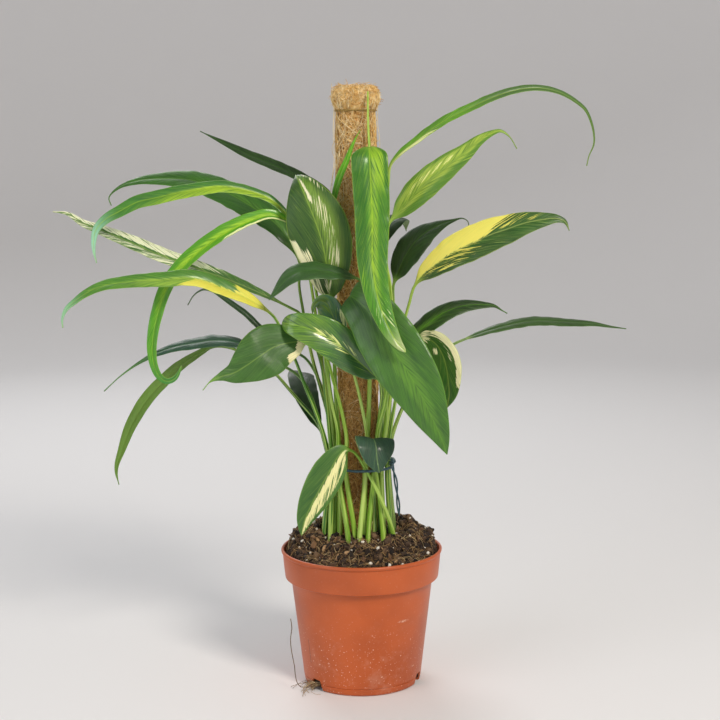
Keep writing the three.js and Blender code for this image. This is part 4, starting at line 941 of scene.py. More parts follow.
def strand_finish(name, codes, rough, bump_mm=0.0):
    """Plant fibres: every fibre has its own colour between straw and brown, with a weak silky light."""
    material, tree = finish_of(name)
    own = add(tree, "Attribute", {"attribute_name": "own"}).outputs["Fac"]
    ramp = add(tree, "ValToRGB", links={"Fac": own})
    stops = ramp.color_ramp.elements
    while len(stops) < len(codes):
        stops.new(0.5)
    for i, code in enumerate(codes):
        stops[i].position = i / (len(codes) - 1)
        stops[i].color = linear(code)
    where = add(tree, "NewGeometry").outputs["Position"]
    uneven = add(tree, "TexNoise", {"Scale": 400.0, "Detail": 2.0}, {"Vector": where})
    shaded = add(tree, "MapRange", {"From Min": 0.4, "From Max": 0.7, "To Max": 0.6}, {"Value": uneven})
    colour = add(
        tree, "Mix", {"data_type": "RGBA", "blend_type": "MULTIPLY", "B": linear("B8A894")},
        {"Factor": shaded, "A": ramp.outputs["Color"]},
    )
    dull = add(tree, "MapRange", {"To Min": rough - 0.12, "To Max": rough + 0.1}, {"Value": uneven})
    grain = add(tree, "TexNoise", {"Scale": 1500.0, "Detail": 3.0}, {"Vector": where})
    bump = add(tree, "Bump", {"Strength": 0.6, "Distance": bump_mm * MM}, {"Height": grain})
    surface(tree, {"IOR": 1.5}, {"Base Color": colour, "Roughness": dull, "Normal": bump})
    return material


def notch_cutter(angle, foot):
    """A prism through the pot's wall: a drain notch 15 mm wide, 10 mm high and blunt at its upper corners."""
    shape = [
        (-0.0075, -0.001), (0.0075, -0.001), (0.0052, 0.0088), (0.0044, 0.010), (-0.0044, 0.010),
        (-0.0052, 0.0088),
    ]
    right, front = math.sin(angle), math.cos(angle)
    ends = []
    for depth in (foot - 0.008, foot + 0.006):
        ends += [(x * front + depth * right, x * right - depth * front, z) for x, z in shape]
    n = len(shape)
    walls = [(i, (i + 1) % n, n + (i + 1) % n, n + i) for i in range(n)]
    mesh = bpy.data.meshes.new("notch")
    mesh.from_pydata(ends, [], [tuple(range(n))[::-1], tuple(range(n, 2 * n)), *walls])
    repair = bmesh.new()
    repair.from_mesh(mesh)
    bmesh.ops.recalc_face_normals(repair, faces=repair.faces)
    repair.to_mesh(mesh)
    repair.free()
    return placed("notch", mesh)


def pot_piece(sizes, finish):
    """The pot, turned from its wall's outline: rolled lip, collar, tapered wall, foot step, drain notches."""
    height, rim, foot = sizes.height, sizes.rim_radius, sizes.foot_radius
    band = height - sizes.collar_height
    wall = 0.0016

    def inside(z):
        """Radius of the wall's inner face at a height."""
        if z < band:
            return foot - wall + (0.066 - foot) * z / band
        return 0.0699 + (z - band) / (height - band) * (rim - 0.0725)

    # the outline as radius and height, from the middle of the underside: the foot with its step
    outline = [
        (0.0, 0.0006), (0.012, 0.0006), (0.0124, 0.0), (foot - 0.0024, 0.0), (foot - 0.0010, 0.0004),
        (foot - 0.0002, 0.0014), (foot, 0.0022), (foot + 0.0006, 0.0062), (foot + 0.0001, 0.0067),
        (foot + 0.0008, 0.0073),
    ]
    # the tapered wall
    for i in range(1, 9):
        t = i / 8
        outline.append((foot + 0.0008 + (0.066 - foot - 0.0008) * t, 0.0073 + (band - 0.0016 - 0.0073) * t))
    # the collar, the rolled lip and the inner face down to the middle of the floor
    outline += [
        (0.0664, band - 0.0010), (0.0690, band - 0.0009), (0.0706, band - 0.0007), (0.0714, band - 0.0001),
        (0.0716, band + 0.0010), (0.0726, band + 0.0100), (rim - 0.0014, height - 0.0052),
        (rim - 0.0016, height - 0.0042), (rim - 0.0012, height - 0.0036), (rim - 0.0004, height - 0.0031),
        (rim - 0.0001, height - 0.0022), (rim - 0.0001, height - 0.0013), (rim - 0.0005, height - 0.0006),
        (rim - 0.0012, height - 0.0002), (rim - 0.0019, height - 0.0002), (rim - 0.0026, height - 0.0007),
        (rim - 0.0030, height - 0.0016), (inside(band + 0.003), band + 0.003), (inside(band - 0.003), band),
        (inside(0.0026), 0.0026), (foot - wall - 0.001, 0.002), (0.0, 0.002),
    ]
    turn = circle(192)
    rings = []
    for r, z in outline[1:-1]:
        rings.append(np.stack([r * np.sin(turn), -r * np.cos(turn), np.full(len(turn), z)], axis=1))
    points, faces = capped(rings, [0, 0, outline[0][1]], [0, 0, outline[-1][1]])
    mesh = bpy.data.meshes.new("pot_body")
    mesh.from_pydata(points.tolist(), [], faces)
    body = placed("pot_body", mesh)
    cutters = []
    for angle in NOTCH_ANGLES:
        cutters.append(notch_cutter(math.radians(angle), foot))
        cut = body.modifiers.new("notch", "BOOLEAN")
        cut.operation, cut.solver, cut.object = "DIFFERENCE", "EXACT", cutters[-1]
    bpy.context.view_layer.update()
    made = bpy.data.meshes.new_from_object(body.evaluated_get(bpy.context.evaluated_depsgraph_get()))
    for gone in (body, *cutters):
        bpy.data.objects.remove(gone)
    made.name = "nursery_pot"
    made.materials.clear()
    made.materials.append(finish)
    made.shade_smooth()
    made.set_sharp_from_angle(angle=math.radians(38))
    piece = placed("nursery_pot", made)
    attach(piece, "root")
    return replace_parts(piece, "pot")


def soil_height(r, angle):
    """Height of the mix at a distance and angle from the pot's axis, in metres."""
    r = np.asarray(r) / MM
    mound = 17 * (1 - smooth(20, 71, r))
    lumps = 2 * np.sin(5 * angle + 0.12 * r) * np.sin(0.19 * r + 1) + 1.2 * np.sin(8 * angle - 0.2 * r + 2)
    right_back = 5 * np.exp(-(((r - 42) / 16) ** 2)) * np.maximum(0, np.cos(angle - math.radians(40)))
    ridge = smooth(34, 47, r) * (1 - smooth(65.5, 71, r)) * smooth(-0.7, 0.1, np.sin(angle))
    clear = smooth(8, 24, r) * (1 - smooth(66, 71, r) * 0.6)
    return (123.5 + mound + 13 * ridge + (lumps + right_back) * clear) * MM


def rough_noise(x, y, seed, pitch):
    """A soft random relief from -1 to 1 whose bumps are about pitch metres apart."""
    rng = np.random.default_rng(seed)
    total = np.zeros_like(x)
    for octave in range(3):
        for _ in range(5):
            a = rng.uniform(0, 2 * math.pi)
            k = 2 * math.pi / pitch * 2**octave * rng.uniform(0.7, 1.3)
            total += np.sin((x * math.cos(a) + y * math.sin(a)) * k + rng.uniform(0, 6.28)) / 2**octave
    return total / 4


def soil_relief(x, y, r):
    """The small bumps of the mix, about 16 mm apart, which die away at the wall."""
    return 0.0016 * rough_noise(x, y, 5, 0.016) * smooth(MIX_RADIUS, 0.066, r)


def soil_piece(finish):
    """The body of the mix: a lumpy mound over a plug that fills the pot down to its drain notches."""
    turn = circle(220)
    plug = ((0.0515, 0.0024), (0.0523, 0.0034), (0.0636, 0.0995), (0.0694, 0.1035), (0.0707, 0.1190))
    rings = [ring(r, z, turn) for r, z in plug]
    for r in np.linspace(0.0709, 0.003, 46):
        relief = soil_relief(r * np.cos(turn), r * np.sin(turn), r)
        rings.append(ring(r, soil_height(r, turn) - 0.0008 + relief, turn))
    points, faces = capped(rings, [0, 0, plug[0][1]], [0, 0, float(soil_height(0.001, 0.0))])
    return form("potting_mix", points, faces, finish, stands_for=("soil",))


def ball(detail):
    """Points and faces of a small faceted ball of radius 1."""
    shape = bmesh.new()
    bmesh.ops.create_icosphere(shape, subdivisions=detail, radius=1.0)
    points = np.array([v.co[:] for v in shape.verts])
    faces = np.array([[v.index for v in f.verts] for f in shape.faces])
    shape.free()
    return points, faces


def turns(rng, count):
    """Random rotations, count by 3 by 3."""
    q = rng.normal(size=(count, 4))
    q /= np.linalg.norm(q, axis=1, keepdims=True)
    w, x, y, z = q.T
    rows = [
        [1 - 2 * (y * y + z * z), 2 * (x * y - z * w), 2 * (x * z + y * w)],
        [2 * (x * y + z * w), 1 - 2 * (x * x + z * z), 2 * (y * z - x * w)],
        [2 * (x * z - y * w), 2 * (y * z + x * w), 1 - 2 * (x * x + y * y)],
    ]
    return np.array(rows).transpose(2, 0, 1)


def soil_spots(rng, count, most=0.069):
    """Random places on the mix, clear of the pole."""
    r = most * np.sqrt(rng.uniform(0.07, 1, count))
    angle = rng.uniform(0, 2 * math.pi, count)
    x, y = r * np.cos(angle), r * np.sin(angle)
    return np.stack([x, y, soil_height(r, angle) + soil_relief(x, y, r)], axis=1)


def grains(name, rng, count, sizes, stretch, sink, lumpy, detail, finish, most=0.069):
    """Loose grains in the top of the mix, each with its own size in mm, turn and lumps."""
    base, faces = ball(detail)
    spots = soil_spots(rng, count, most)
    size = rng.uniform(*sizes, count) * MM * rng.uniform(0.6, 1, count)
    lumps = 1 + lumpy * rng.uniform(-1, 1, (count, len(base), 1))
    shaped = base[None] * lumps * size[:, None, None] * np.array(stretch)[None, None, :]
    spots[:, 2] += size * sink
    points = np.einsum("nij,nkj->nki", turns(rng, count), shaped) + spots[:, None, :]
    everything = (faces[None] + (np.arange(count) * len(base))[:, None, None]).reshape(-1, 3)
    own = np.repeat(rng.uniform(0, 1, count), len(base))
    points = points.reshape(-1, 3)
    reach = np.hypot(points[:, 0], points[:, 1])
    points[:, :2] *= np.minimum(1, MIX_RADIUS / np.maximum(reach, 1e-9))[:, None]
    return form(name, points, everything, finish, values={"own": own}, flat=detail < 2)


def mix_fibres(rng, count, finish):
    """Coir fibres and fine roots that lie on and stick out of the mix."""
    spots = soil_spots(rng, count, 0.068)
    heading = rng.uniform(0, 2 * math.pi, count)
    length = rng.uniform(0.004, 0.014, count)
    steps = np.linspace(-0.5, 0.5, 7)
    bend = rng.uniform(-1.5, 1.5, (count, 1))
    angle = heading[:, None] + bend * steps[None, :]
    x = spots[:, :1] + length[:, None] * steps * np.cos(angle)
    y = spots[:, 1:2] + length[:, None] * steps * np.sin(angle)
    reach = np.hypot(x, y)
    inward = np.minimum(1, 0.0705 / np.maximum(reach, 1e-9))
    x, y = x * inward, y * inward
    reach = np.hypot(x, y)
    lift = rng.uniform(0.0002, 0.0022, (count, 1)) * np.cos(steps * math.pi)
    lift = lift + rng.uniform(0, 0.002, (count, 1)) * (steps + 0.5)
    z = soil_height(reach, np.arctan2(y, x)) + 0.0004 + lift
    paths = np.stack([x, y, z], axis=2)
    thick, own = rng.uniform(0.00009, 0.0002, count), rng.uniform(0, 1, count)
    outward = np.broadcast_to([0.2, 0.1, 1.0], paths.shape)
    return strand_piece("mix_fibres", paths, thick, outward, own, finish)


def drain_roots(rng, foot, count, finish):
    """Fine roots that have grown out through a drain notch and curl on the ground; one stands up."""
    t = np.linspace(0, 1, 15)
    side = rng.uniform(-0.004, 0.004, (count, 1))
    heading = rng.uniform(2.6, 3.9, (count, 1)) + rng.uniform(-3.2, 3.2, (count, 1)) * t**1.5
    step = rng.uniform(0.008, 0.028, (count, 1)) / len(t)
    x = -0.0385 - 0.64 * side + np.cumsum(step * np.cos(heading), axis=1)
    y = -0.0322 + 0.77 * side + np.cumsum(step * np.sin(heading), axis=1)
    clear = np.where(t > 0.2, np.maximum(1, (foot + 0.002) / np.hypot(x, y)), 1)
    sag = rng.uniform(0.002, 0.006, (count, 1)) * (1 - t) ** 1.5
    sag = sag + rng.uniform(0, 0.005, (count, 1)) * np.sin(math.pi * t)
    paths = np.stack([x * clear, y * clear, 0.0005 + sag], axis=2)
    upright = [
        (-44, -37, 4), (-57, -38, 4), (-61, -38, 10), (-62.5, -38, 24), (-65, -38, 38), (-65.8, -38, 50),
        (-64.4, -38, 60), (-65.4, -38, 69),
    ]
    paths[-1] = catmull(np.array(upright) * MM, 2)
    thick, own = rng.uniform(0.00012, 0.0003, count), rng.uniform(0, 1, count)
    thick[-1] = 0.0004
    outward = np.tile([0.2, 0.1, 1.0], (count, len(t), 1))
    outward[-1] = (0, -1, 0)
    return strand_piece("drain_roots", paths, thick, outward, own, finish, 5)


def coir_radius(z):
    """Radius of the coir wrap at a height, in metres."""
    heights = [60, 150, 230, 310, 390, 460, 515, 528, 533, 538, 545, 549.5, 551]
    radii = [18, 18.4, 17.6, 18.2, 17.7, 18.3, 18, 17.3, 19.4, 21.4, 20.6, 16.9, 9]
    return np.interp(np.asarray(z) / MM, heights, radii) * MM


def coir_body(finish):
    """The felted mat under the loose fibres, with its lumps and a hollow between the turns of the wrap."""
    turn = circle(120)
    heights = np.concatenate([np.linspace(0.0605, 0.526, 220), np.linspace(0.527, 0.5505, 20)])
    rings = []
    for z in heights:
        lump = 0.0007 * rough_noise(turn * 0.018, np.full(len(turn), z), 11, 0.012)
        rings.append(ring(coir_radius(z) - 0.0012 + lump, z, turn, POLE_X))
    points, faces = capped(rings, [POLE_X, 0, heights[0]], [POLE_X, 0, 0.5500])
    return form("coir_mat", points, faces, finish, stands_for=("coir_wrap",))


def coir_fibres(
    rng, count, finish, name="coir_fibres", low=0.118, high=0.549, spread=(0.012, 0.045), proud=0.0006
):
    """Loose coir fibres that cross each other over the wrap."""
    z0 = rng.uniform(low, high, count)
    a0 = rng.uniform(0, 2 * math.pi, count)
    length = rng.uniform(*spread, count)
    slope = rng.normal(math.radians(62), math.radians(30), count) * rng.choice([-1, 1], count)
    steps = np.linspace(-0.5, 0.5, 7)
    curl = rng.normal(0, 0.6, (count, 1))
    heading = slope[:, None] + curl * steps[None, :] * 2
    down = np.cumsum(np.sin(heading), axis=1) / len(steps)
    over = np.cumsum(np.cos(heading), axis=1) / len(steps)
    z = np.clip(z0[:, None] + length[:, None] * (down - down.mean(axis=1, keepdims=True)), low, 0.5505)
    angle = a0[:, None] + length[:, None] * (over - over.mean(axis=1, keepdims=True)) / 0.018
    lift = rng.uniform(0, 1, (count, 1)) * proud
    lift = lift + rng.uniform(0, proud * 1.5, (count, 1)) * np.sin((steps + 0.5) * math.pi)
    r = coir_radius(z) - 0.0004 + lift
    paths = np.stack([POLE_X + r * np.cos(angle), r * np.sin(angle), z], axis=2)
    outward = np.stack([np.cos(angle), np.sin(angle), np.full_like(angle, 0.05)], axis=2)
    thick = rng.uniform(0.00015, 0.00033, count)
    pale = np.clip(rng.normal(0.4, 0.24, count) + 0.3 * smooth(0.25, 0.5, z0), 0, 1)
    return strand_piece(name, paths, thick, outward, pale, finish)


def coir_fringe(rng, count, finish):
    """Fibre ends that stand out of the loose top of the wrap."""
    t = np.linspace(0, 1, 8)
    z0 = rng.uniform(0.531, 0.5506, (count, 1))
    start = coir_radius(z0) - 0.003
    length = rng.uniform(0.003, 0.0075, (count, 1))
    rise = rng.uniform(0.1, 1.5, (count, 1))
    angle = rng.uniform(0, 2 * math.pi, (count, 1)) + rng.normal(0, 0.9, (count, 1)) * length * t / start
    r = start + length * np.cos(rise) * t
    z = np.minimum(z0 + length * (np.sin(rise) * t - 0.3 * t**2), 0.5575)
    paths = np.stack([POLE_X + r * np.cos(angle), r * np.sin(angle), z], axis=2)
    outward = np.stack([-np.sin(angle), np.cos(angle), np.full_like(angle, 0.1)], axis=2)
    thick, own = rng.uniform(0.00012, 0.00026, count), rng.uniform(0.35, 1, count)
    return strand_piece("coir_fringe", paths, thick, outward, own, finish)


def wire_piece(name, route, radius, finish, stands_for=(), sides=10, closed=False):
    """A round wire or thread along a route of points."""
    route = np.asarray(route, float)
    outward = np.zeros_like(route)
    along = np.gradient(route, axis=0)
    outward[:, 2] = 1
    steep = np.abs(along[:, 2]) > 0.85 * np.linalg.norm(along, axis=1)
    outward[steep] = (1, 0.2, 0)
    points, faces = strands(route[None], np.full((1, len(route)), radius), outward[None], sides)
    if closed:
        last = (len(route) - 1) * sides
        seam = [(last + k, last + (k + 1) % sides, (k + 1) % sides, k) for k in range(sides)]
        faces = [tuple(f) for f in faces.tolist()] + seam
    else:
        faces = [tuple(f) for f in faces.tolist()]
        faces += [tuple(range(sides))[::-1], tuple((len(route) - 1) * sides + k for k in range(sides))]
    values = {"own": np.full(len(points), 0.5)}
    return form(name, points, faces, finish, stands_for=stands_for, values=values)


def tied_stalks():
    """Where each stalk that the tie holds passes it."""
    spots = []
    for name, leaf in LEAVES.items():
        if leaf["tie"][1] < TIE_REACH and name != "new_leaf_spear":
            at = leaf_frames(leaf, 24, 48)[0][::4]
            order = int(np.argmax(at[:, 2] > TIE_HEIGHT + MM))
            below, above = at[order - 1], at[order]
            spots.append(below + (above - below) * (TIE_HEIGHT + MM - below[2]) / (above[2] - below[2]))
    return np.array(spots)


def tie_radius(angle, spots):
    """Distance of the taut tie from the pole's axis: the tightest loop round the pole and the stalks."""
    stalk, pole, wire = 0.0025, 0.0184, 0.0018
    ways = angle + np.radians(np.arange(-80, 81, 4))
    reach = (spots[:, :1] - POLE_X) * np.cos(ways) + spots[:, 1:2] * np.sin(ways) + stalk + wire
    reach = np.maximum(reach.max(axis=0), pole + wire)
    least = float((reach / np.cos(ways - angle)).min())
    front_reach = 0.040  # in front the loop stands off
    front = float(smooth(0.55, 0.95, math.cos(angle + math.pi / 2 - math.radians(15))))
    return least + (front_reach - least) * front


class PotSizes(bpy.types.PropertyGroup):
    """The nursery pot's main sizes and colours."""

    height: bpy.props.FloatProperty(
        name="Height", description="From the foot to the lip", default=0.1265, unit="LENGTH"
    )
    rim_radius: bpy.props.FloatProperty(
        name="Rim radius", description="Over the lip", default=0.075, unit="LENGTH"
    )
    foot_radius: bpy.props.FloatProperty(
        name="Foot radius", description="At the flat underside", default=0.0544, unit="LENGTH"
    )
    collar_height: bpy.props.FloatProperty(
        name="Collar height", description="Of the wider band under the lip", default=0.0265, unit="LENGTH"
    )
    plastic: bpy.props.FloatVectorProperty(
        name="Plastic", description="Colour of the moulded wall", subtype="COLOR", size=4,
        default=linear("BF5A26")
    )
    plastic_shade: bpy.props.FloatVectorProperty(
        name="Plastic, darker", description="Colour of the wall's darker patches", subtype="COLOR", size=4,
        default=linear("AD5022")
    )


class MixSizes(bpy.types.PropertyGroup):
    """What lies loose in the potting mix."""

    crumbs: bpy.props.IntProperty(
        name="Peat crumbs", description="Number of small peat crumbs", default=5200, min=0
    )
    lumps: bpy.props.IntProperty(
        name="Peat lumps", description="Number of larger peat lumps", default=620, min=0
    )
    perlite: bpy.props.IntProperty(
        name="Perlite", description="Number of white perlite grains", default=95, min=0
    )
    bark: bpy.props.IntProperty(name="Bark", description="Number of bark chips", default=150, min=0)
    fibres: bpy.props.IntProperty(
        name="Fibres", description="Number of loose fibres and fine roots", default=1500, min=0
    )
    peat: bpy.props.FloatVectorProperty(
        name="Peat", description="Colour of the moist peat", subtype="COLOR", size=4, default=linear("2A1F18")
    )


class PoleSizes(bpy.types.PropertyGroup):
    """The coir pole's fibres."""

    fibres: bpy.props.IntProperty(
        name="Fibres", description="Number of fibres on the wrap", default=5200, min=0
    )
    tuft_fibres: bpy.props.IntProperty(
        name="Tuft fibres", description="Number of fibres in the tuft", default=1700, min=0
    )
    fringe_fibres: bpy.props.IntProperty(
        name="Fringe", description="Number of fibre ends that stand out at the top", default=420, min=0
    )
    stray_fibres: bpy.props.IntProperty(
        name="Stray fibres", description="Number of fibres that stand off the wrap", default=260, min=0
    )


class LeafSizes(bpy.types.PropertyGroup):
    """How finely the leaves are built."""

    stalk_steps: bpy.props.IntProperty(
        name="Stalk steps", description="Rings along a stalk", default=48, min=24
    )
    blade_steps: bpy.props.IntProperty(
        name="Blade steps", description="Rings along a blade", default=110, min=48
    )
    half_ring: bpy.props.IntProperty(
        name="Points across", description="Points across a blade's face", default=19, min=5
    )


class StageSizes(bpy.types.PropertyGroup):
    """The floor, the room's light and the camera."""

    floor: bpy.props.FloatVectorProperty(
        name="Floor", description="Colour of the plain floor", subtype="COLOR", size=4,
        default=linear("E4E4E6")
    )
    key_power: bpy.props.FloatProperty(
        name="Key light", description="Power of the large front light", default=38.0, unit="POWER"
    )
    lens: bpy.props.FloatProperty(name="Lens", description="Focal length", default=74.2, unit="CAMERA")


class AROID_OT_pot(bpy.types.Operator):
    """Builds the nursery pot"""

    bl_idname = "aroid.pot"
    bl_label = "Nursery pot"

    def execute(self, context):
        sizes = context.scene.aroid_pot
        pot_piece(sizes, pot_finish(tuple(sizes.plastic), tuple(sizes.plastic_shade)))
        return {"FINISHED"}


class AROID_OT_mix(bpy.types.Operator):
    """Builds the potting mix with its crumbs, perlite, bark and fibres"""

    bl_idname = "aroid.mix"
    bl_label = "Potting mix"

    def execute(self, context):
        sizes = context.scene.aroid_mix
        rng = np.random.default_rng(21)
        # moist peat: nearly black in its gaps, with no shine, broken into crumbs of 1 to 4 mm
        peat = mottled_finish("moist_peat", tuple(sizes.peat), linear("4C3A2C"), 260, 0.9, 0.9, 900)
        crumbs = strand_finish("peat_crumbs", ["140E0A", "2B1F17", "4A382A", "7C6248"], 0.92, 0.5)
        # expanded perlite: chalky white froth glass
        perlite = mottled_finish("expanded_perlite", linear("F0ECE2"), linear("CFC6B4"), 900, 0.85, 0.3, 2500)
        # composted pine bark: layered tan to red-brown chips
        bark = strand_finish("pine_bark_chips", ["4A3020", "7A5A3C", "B39068"], 0.8, 0.3)
        fibre = strand_finish("loose_coir_in_mix", ["3A2819", "7A5C38", "B8925C", "DCC492"], 0.7)
        soil_piece(peat)
        grains("peat_crumbs", rng, sizes.crumbs, (0.5, 1.5), (1, 0.8, 0.7), 0.2, 0.35, 1, crumbs, 0.0705)
        grains("peat_lumps", rng, sizes.lumps, (1.8, 4.4), (1, 0.8, 0.6), 0.12, 0.46, 2, crumbs, 0.067)
        grains("perlite_grains", rng, sizes.perlite, (0.8, 2.3), (1, 0.85, 0.75), 0.65, 0.18, 2, perlite)
        grains("bark_chips", rng, sizes.bark, (1.8, 4.8), (1, 0.6, 0.28), 0.4, 0.2, 2, bark, 0.067)
        mix_fibres(rng, sizes.fibres, fibre)
        # dried fine roots: papery straw-brown strands, dull against the smooth wall
        root = strand_finish("dried_fine_root", ["5E4A34", "9A815C", "CDB993"], 0.75)
        drain_roots(rng, context.scene.aroid_pot.foot_radius, 34, root)
        return {"FINISHED"}


class AROID_OT_pole(bpy.types.Operator):
    """Builds the coir pole with its fibres, its binding thread and its stick"""

    bl_idname = "aroid.pole"
    bl_label = "Coir pole"

    def execute(self, context):
        sizes = context.scene.aroid_pole
        rng = np.random.default_rng(8)
        # needled coir mat: matte, dark between its fibres
        mat = mottled_finish("needled_coir_mat", linear("94672F"), linear("E4B570"), 420, 0.92, 0.7, 1400)
        fibre = strand_finish("combed_coir_fibre", ["8E5C26", "D29C4C", "F4CE80", "FFF0C4"], 0.62)
        coir_body(mat)
        coir_fibres(rng, sizes.fibres, fibre)
        coir_fibres(rng, sizes.tuft_fibres, fibre, "coir_tuft", 0.529, 0.5495, (0.008, 0.024), 0.0007)
        coir_fringe(rng, sizes.fringe_fibres, fibre)
        coir_fibres(rng, sizes.stray_fibres, fibre, "coir_strays", 0.14, 0.5495, (0.010, 0.030), 0.0022)
        loose = []
        for start, end, side in ((0.556, 0.442, -0.0212), (0.552, 0.452, -0.0202), (0.548, 0.470, 0.0192)):
            t = np.linspace(0, 1, 20)
            sway = 0.0016 * np.sin(t * 5 + start * 90) + 0.0008 * np.sin(t * 13)
            fall = start + (end - start) * t - 0.004
            loose.append(np.stack([POLE_X + side + sway, -0.004 - 0.003 * t, fall], axis=1))
        loose = np.array(loose)
        outward = np.broadcast_to([0.1, -1.0, 0.05], loose.shape)
        strand_piece("loose_threads", loose, 0.00022, outward, np.full(3, 0.96), fibre, 4)
        # hemp binding string: twisted, golden brown and dull
        thread = mottled_finish(
            "twisted_hemp_string", linear("7A6230"), linear("B0924E"), 1500, 0.85, 0.2, 3000
        )
        turn = circle(72)
        route = ring(0.0186, THREAD_HEIGHT + 0.0003 * np.sin(3 * turn), turn, POLE_X)
        wire_piece("binding_thread", route, 0.0006, thread, ("pole_thread",), closed=True)
        # planed softwood stick, hidden by the wrap
        wood = mottled_finish("planed_pine_stick", linear("C9A878"), linear("A8834F"), 120, 0.7, 0.2, 600)
        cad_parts["pole_core"].data.materials.clear()
        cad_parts["pole_core"].data.materials.append(wood)
        return {"FINISHED"}


class AROID_OT_tie(bpy.types.Operator):
    """Builds the plant tie with its knot and its tail"""

    bl_idname = "aroid.tie"
    bl_label = "Plant tie"

    def execute(self, context):
        # soft PVC garden tie: dull blue-green with a slight skin shine
        pvc = mottled_finish("extruded_pvc_tie", linear("3E5F66"), linear("2F4A50"), 300, 0.48, 0.05, 1200)
        turn = circle(120)
        spots = tied_stalks()
        taut = np.array([tie_radius(a, spots) for a in turn])
        route = ring(taut, TIE_HEIGHT + 0.001 + 0.0008 * np.sin(2 * turn + 1), turn, POLE_X)
        wire_piece("plant_tie", route, 0.00125, pvc, ("stem_tie",), closed=True)
        knot_x, knot_y, _ = round_pole(KNOT, TIE_HEIGHT)
        t = np.linspace(0, 1, 60)
        coil_x, coil_y = knot_x + 0.0017 * np.cos(t * 15), knot_y + 0.0017 * np.sin(t * 15)
        coil = np.stack([coil_x, coil_y, TIE_HEIGHT + 0.0002 + 0.0056 * t], axis=1)
        wire_piece("tie_knot", coil, 0.0009, pvc)
        hang = [(0, 0, 0.003), (0.0035, -0.001, -0.012), (0.0055, -0.001, -0.030), (0.007, 0.001, -0.047)]
        tail = catmull([(knot_x + x, knot_y + y, TIE_HEIGHT + z) for x, y, z in hang], 16)
        s = np.arange(len(tail)) / 6
        twist = 0.0011 * np.stack([np.cos(s), np.sin(s), 0 * s], axis=1)
        wire_piece("tie_tail_a", tail + twist, 0.0008, pvc, sides=8)
        wire_piece("tie_tail_b", tail - twist, 0.0008, pvc, sides=8)
        return {"FINISHED"}


class AROID_OT_leaves(bpy.types.Operator):
    """Builds every leaf with its stalk"""

    bl_idname = "aroid.leaves"
    bl_label = "Leaves"

    def execute(self, context):
        sizes = context.scene.aroid_leaf
        for seed, (name, leaf) in enumerate(LEAVES.items()):
            finish = leaf_finish(name, seed)
            leaf_piece(name, leaf, finish, sizes.stalk_steps, sizes.blade_steps, sizes.half_ring, seed)
        return {"FINISHED"}


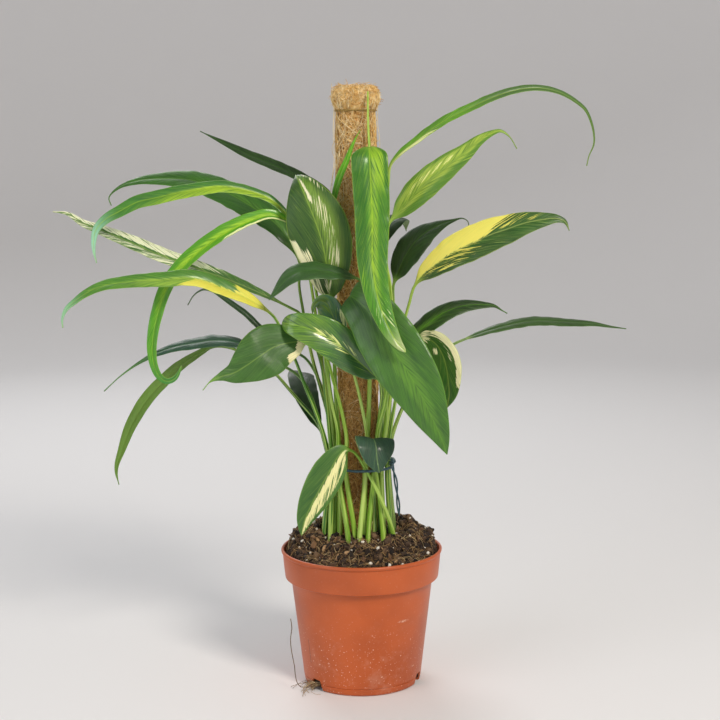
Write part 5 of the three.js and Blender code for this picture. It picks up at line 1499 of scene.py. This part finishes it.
class AROID_OT_stage(bpy.types.Operator):
    """Builds the floor, the lights and the camera"""

    bl_idname = "aroid.stage"
    bl_label = "Stage"

    def execute(self, context):
        sizes = context.scene.aroid_stage
        material, tree = finish_of("painted_studio_floor")
        where = add(tree, "NewGeometry").outputs["Position"]
        cloud = add(tree, "TexNoise", {"Scale": 3.0, "Detail": 3.0}, {"Vector": where})
        rough = add(tree, "MapRange", {"To Min": 0.75, "To Max": 0.9}, {"Value": cloud})
        surface(tree, {"Base Color": tuple(sizes.floor)}, {"Roughness": rough})
        turn = circle(96)
        bend = np.linspace(0, math.pi / 2, 16)
        profile = [(0.6, 0.0), *((2.2 + math.sin(b), 1 - math.cos(b)) for b in bend), (3.2, 2.6)]
        points = np.vstack([ring(r, z, turn) for r, z in profile])
        faces = tube_faces(len(profile), len(turn))[:, ::-1].tolist()
        mesh = bpy.data.meshes.new("floor")
        mesh.from_pydata(points.tolist(), [], [list(range(len(turn))), *faces])
        mesh.materials.append(material)
        mesh.shade_smooth()
        floor = placed("floor", mesh)
        world = context.scene.world or bpy.data.worlds.new("room")
        context.scene.world = world
        world.use_nodes = True
        room = world.node_tree.nodes.get("Background") or world.node_tree.nodes.new("ShaderNodeBackground")
        room.inputs["Color"].default_value = linear("CCCAC6")
        room.inputs["Strength"].default_value = 0.48
        lights = (
            ("key", (1.0, -1.6, 1.75), 0.55, sizes.key_power, "FFF6EA"),
            ("fill", (-1.5, -1.2, 0.9), 1.4, sizes.key_power * 0.3, "F8FAFF"),
            ("back", (-0.5, 1.6, 1.7), 1.2, sizes.key_power * 0.45, "FFFFFF"),
        )
        for name, place, width, power, code in lights:
            data = bpy.data.lights.new(name, "AREA")
            data.shape, data.size, data.energy, data.color = "SQUARE", width, power, linear(code)[:3]
            light = placed(name, data)
            light.location = place
            light.rotation_euler = (Vector((0, 0, 0.28)) - Vector(place)).to_track_quat("-Z", "Y").to_euler()
        camera = placed("camera", bpy.data.cameras.new("camera"))
        camera.data.lens = sizes.lens
        camera.data.sensor_width = CAMERA_SENSOR
        camera.location = (0, -EYE_DISTANCE, EYE_HEIGHT)
        camera.rotation_euler = (math.radians(90 - CAMERA_PITCH), 0, 0)
        camera.rotation_euler.rotate_axis("Z", CAMERA_ROLL)
        context.scene.camera = camera
        context.scene.view_settings.view_transform = "Standard"
        return {"FINISHED"}


OPERATORS = (AROID_OT_pot, AROID_OT_mix, AROID_OT_pole, AROID_OT_tie, AROID_OT_leaves, AROID_OT_stage)
GROUPS = {
    "aroid_pot": PotSizes, "aroid_mix": MixSizes, "aroid_pole": PoleSizes, "aroid_leaf": LeafSizes,
    "aroid_stage": StageSizes,
}


class AROID_PT_panel(bpy.types.Panel):
    """Lists the steps that build the plant"""

    bl_label = "Potted aroid"
    bl_idname = "AROID_PT_panel"
    bl_space_type = "VIEW_3D"
    bl_region_type = "UI"
    bl_category = "Aroid"

    def draw(self, context):
        for operator in OPERATORS:
            self.layout.operator(operator.bl_idname)
        for key, group in GROUPS.items():
            box = self.layout.box()
            for name in group.__annotations__:
                box.prop(getattr(context.scene, key), name)


def register():
    for one in (*GROUPS.values(), *OPERATORS, AROID_PT_panel):
        bpy.utils.register_class(one)
    for key, group in GROUPS.items():
        setattr(bpy.types.Scene, key, bpy.props.PointerProperty(type=group))


def unregister():
    for key in GROUPS:
        delattr(bpy.types.Scene, key)
    for one in (AROID_PT_panel, *OPERATORS[::-1], *list(GROUPS.values())[::-1]):
        bpy.utils.unregister_class(one)


def main():
    register()
    bpy.ops.aroid.stage()
    bpy.ops.aroid.pot()
    bpy.ops.aroid.mix()
    bpy.ops.aroid.pole()
    bpy.ops.aroid.tie()
    bpy.ops.aroid.leaves()


if __name__ == "__main__":
    main()
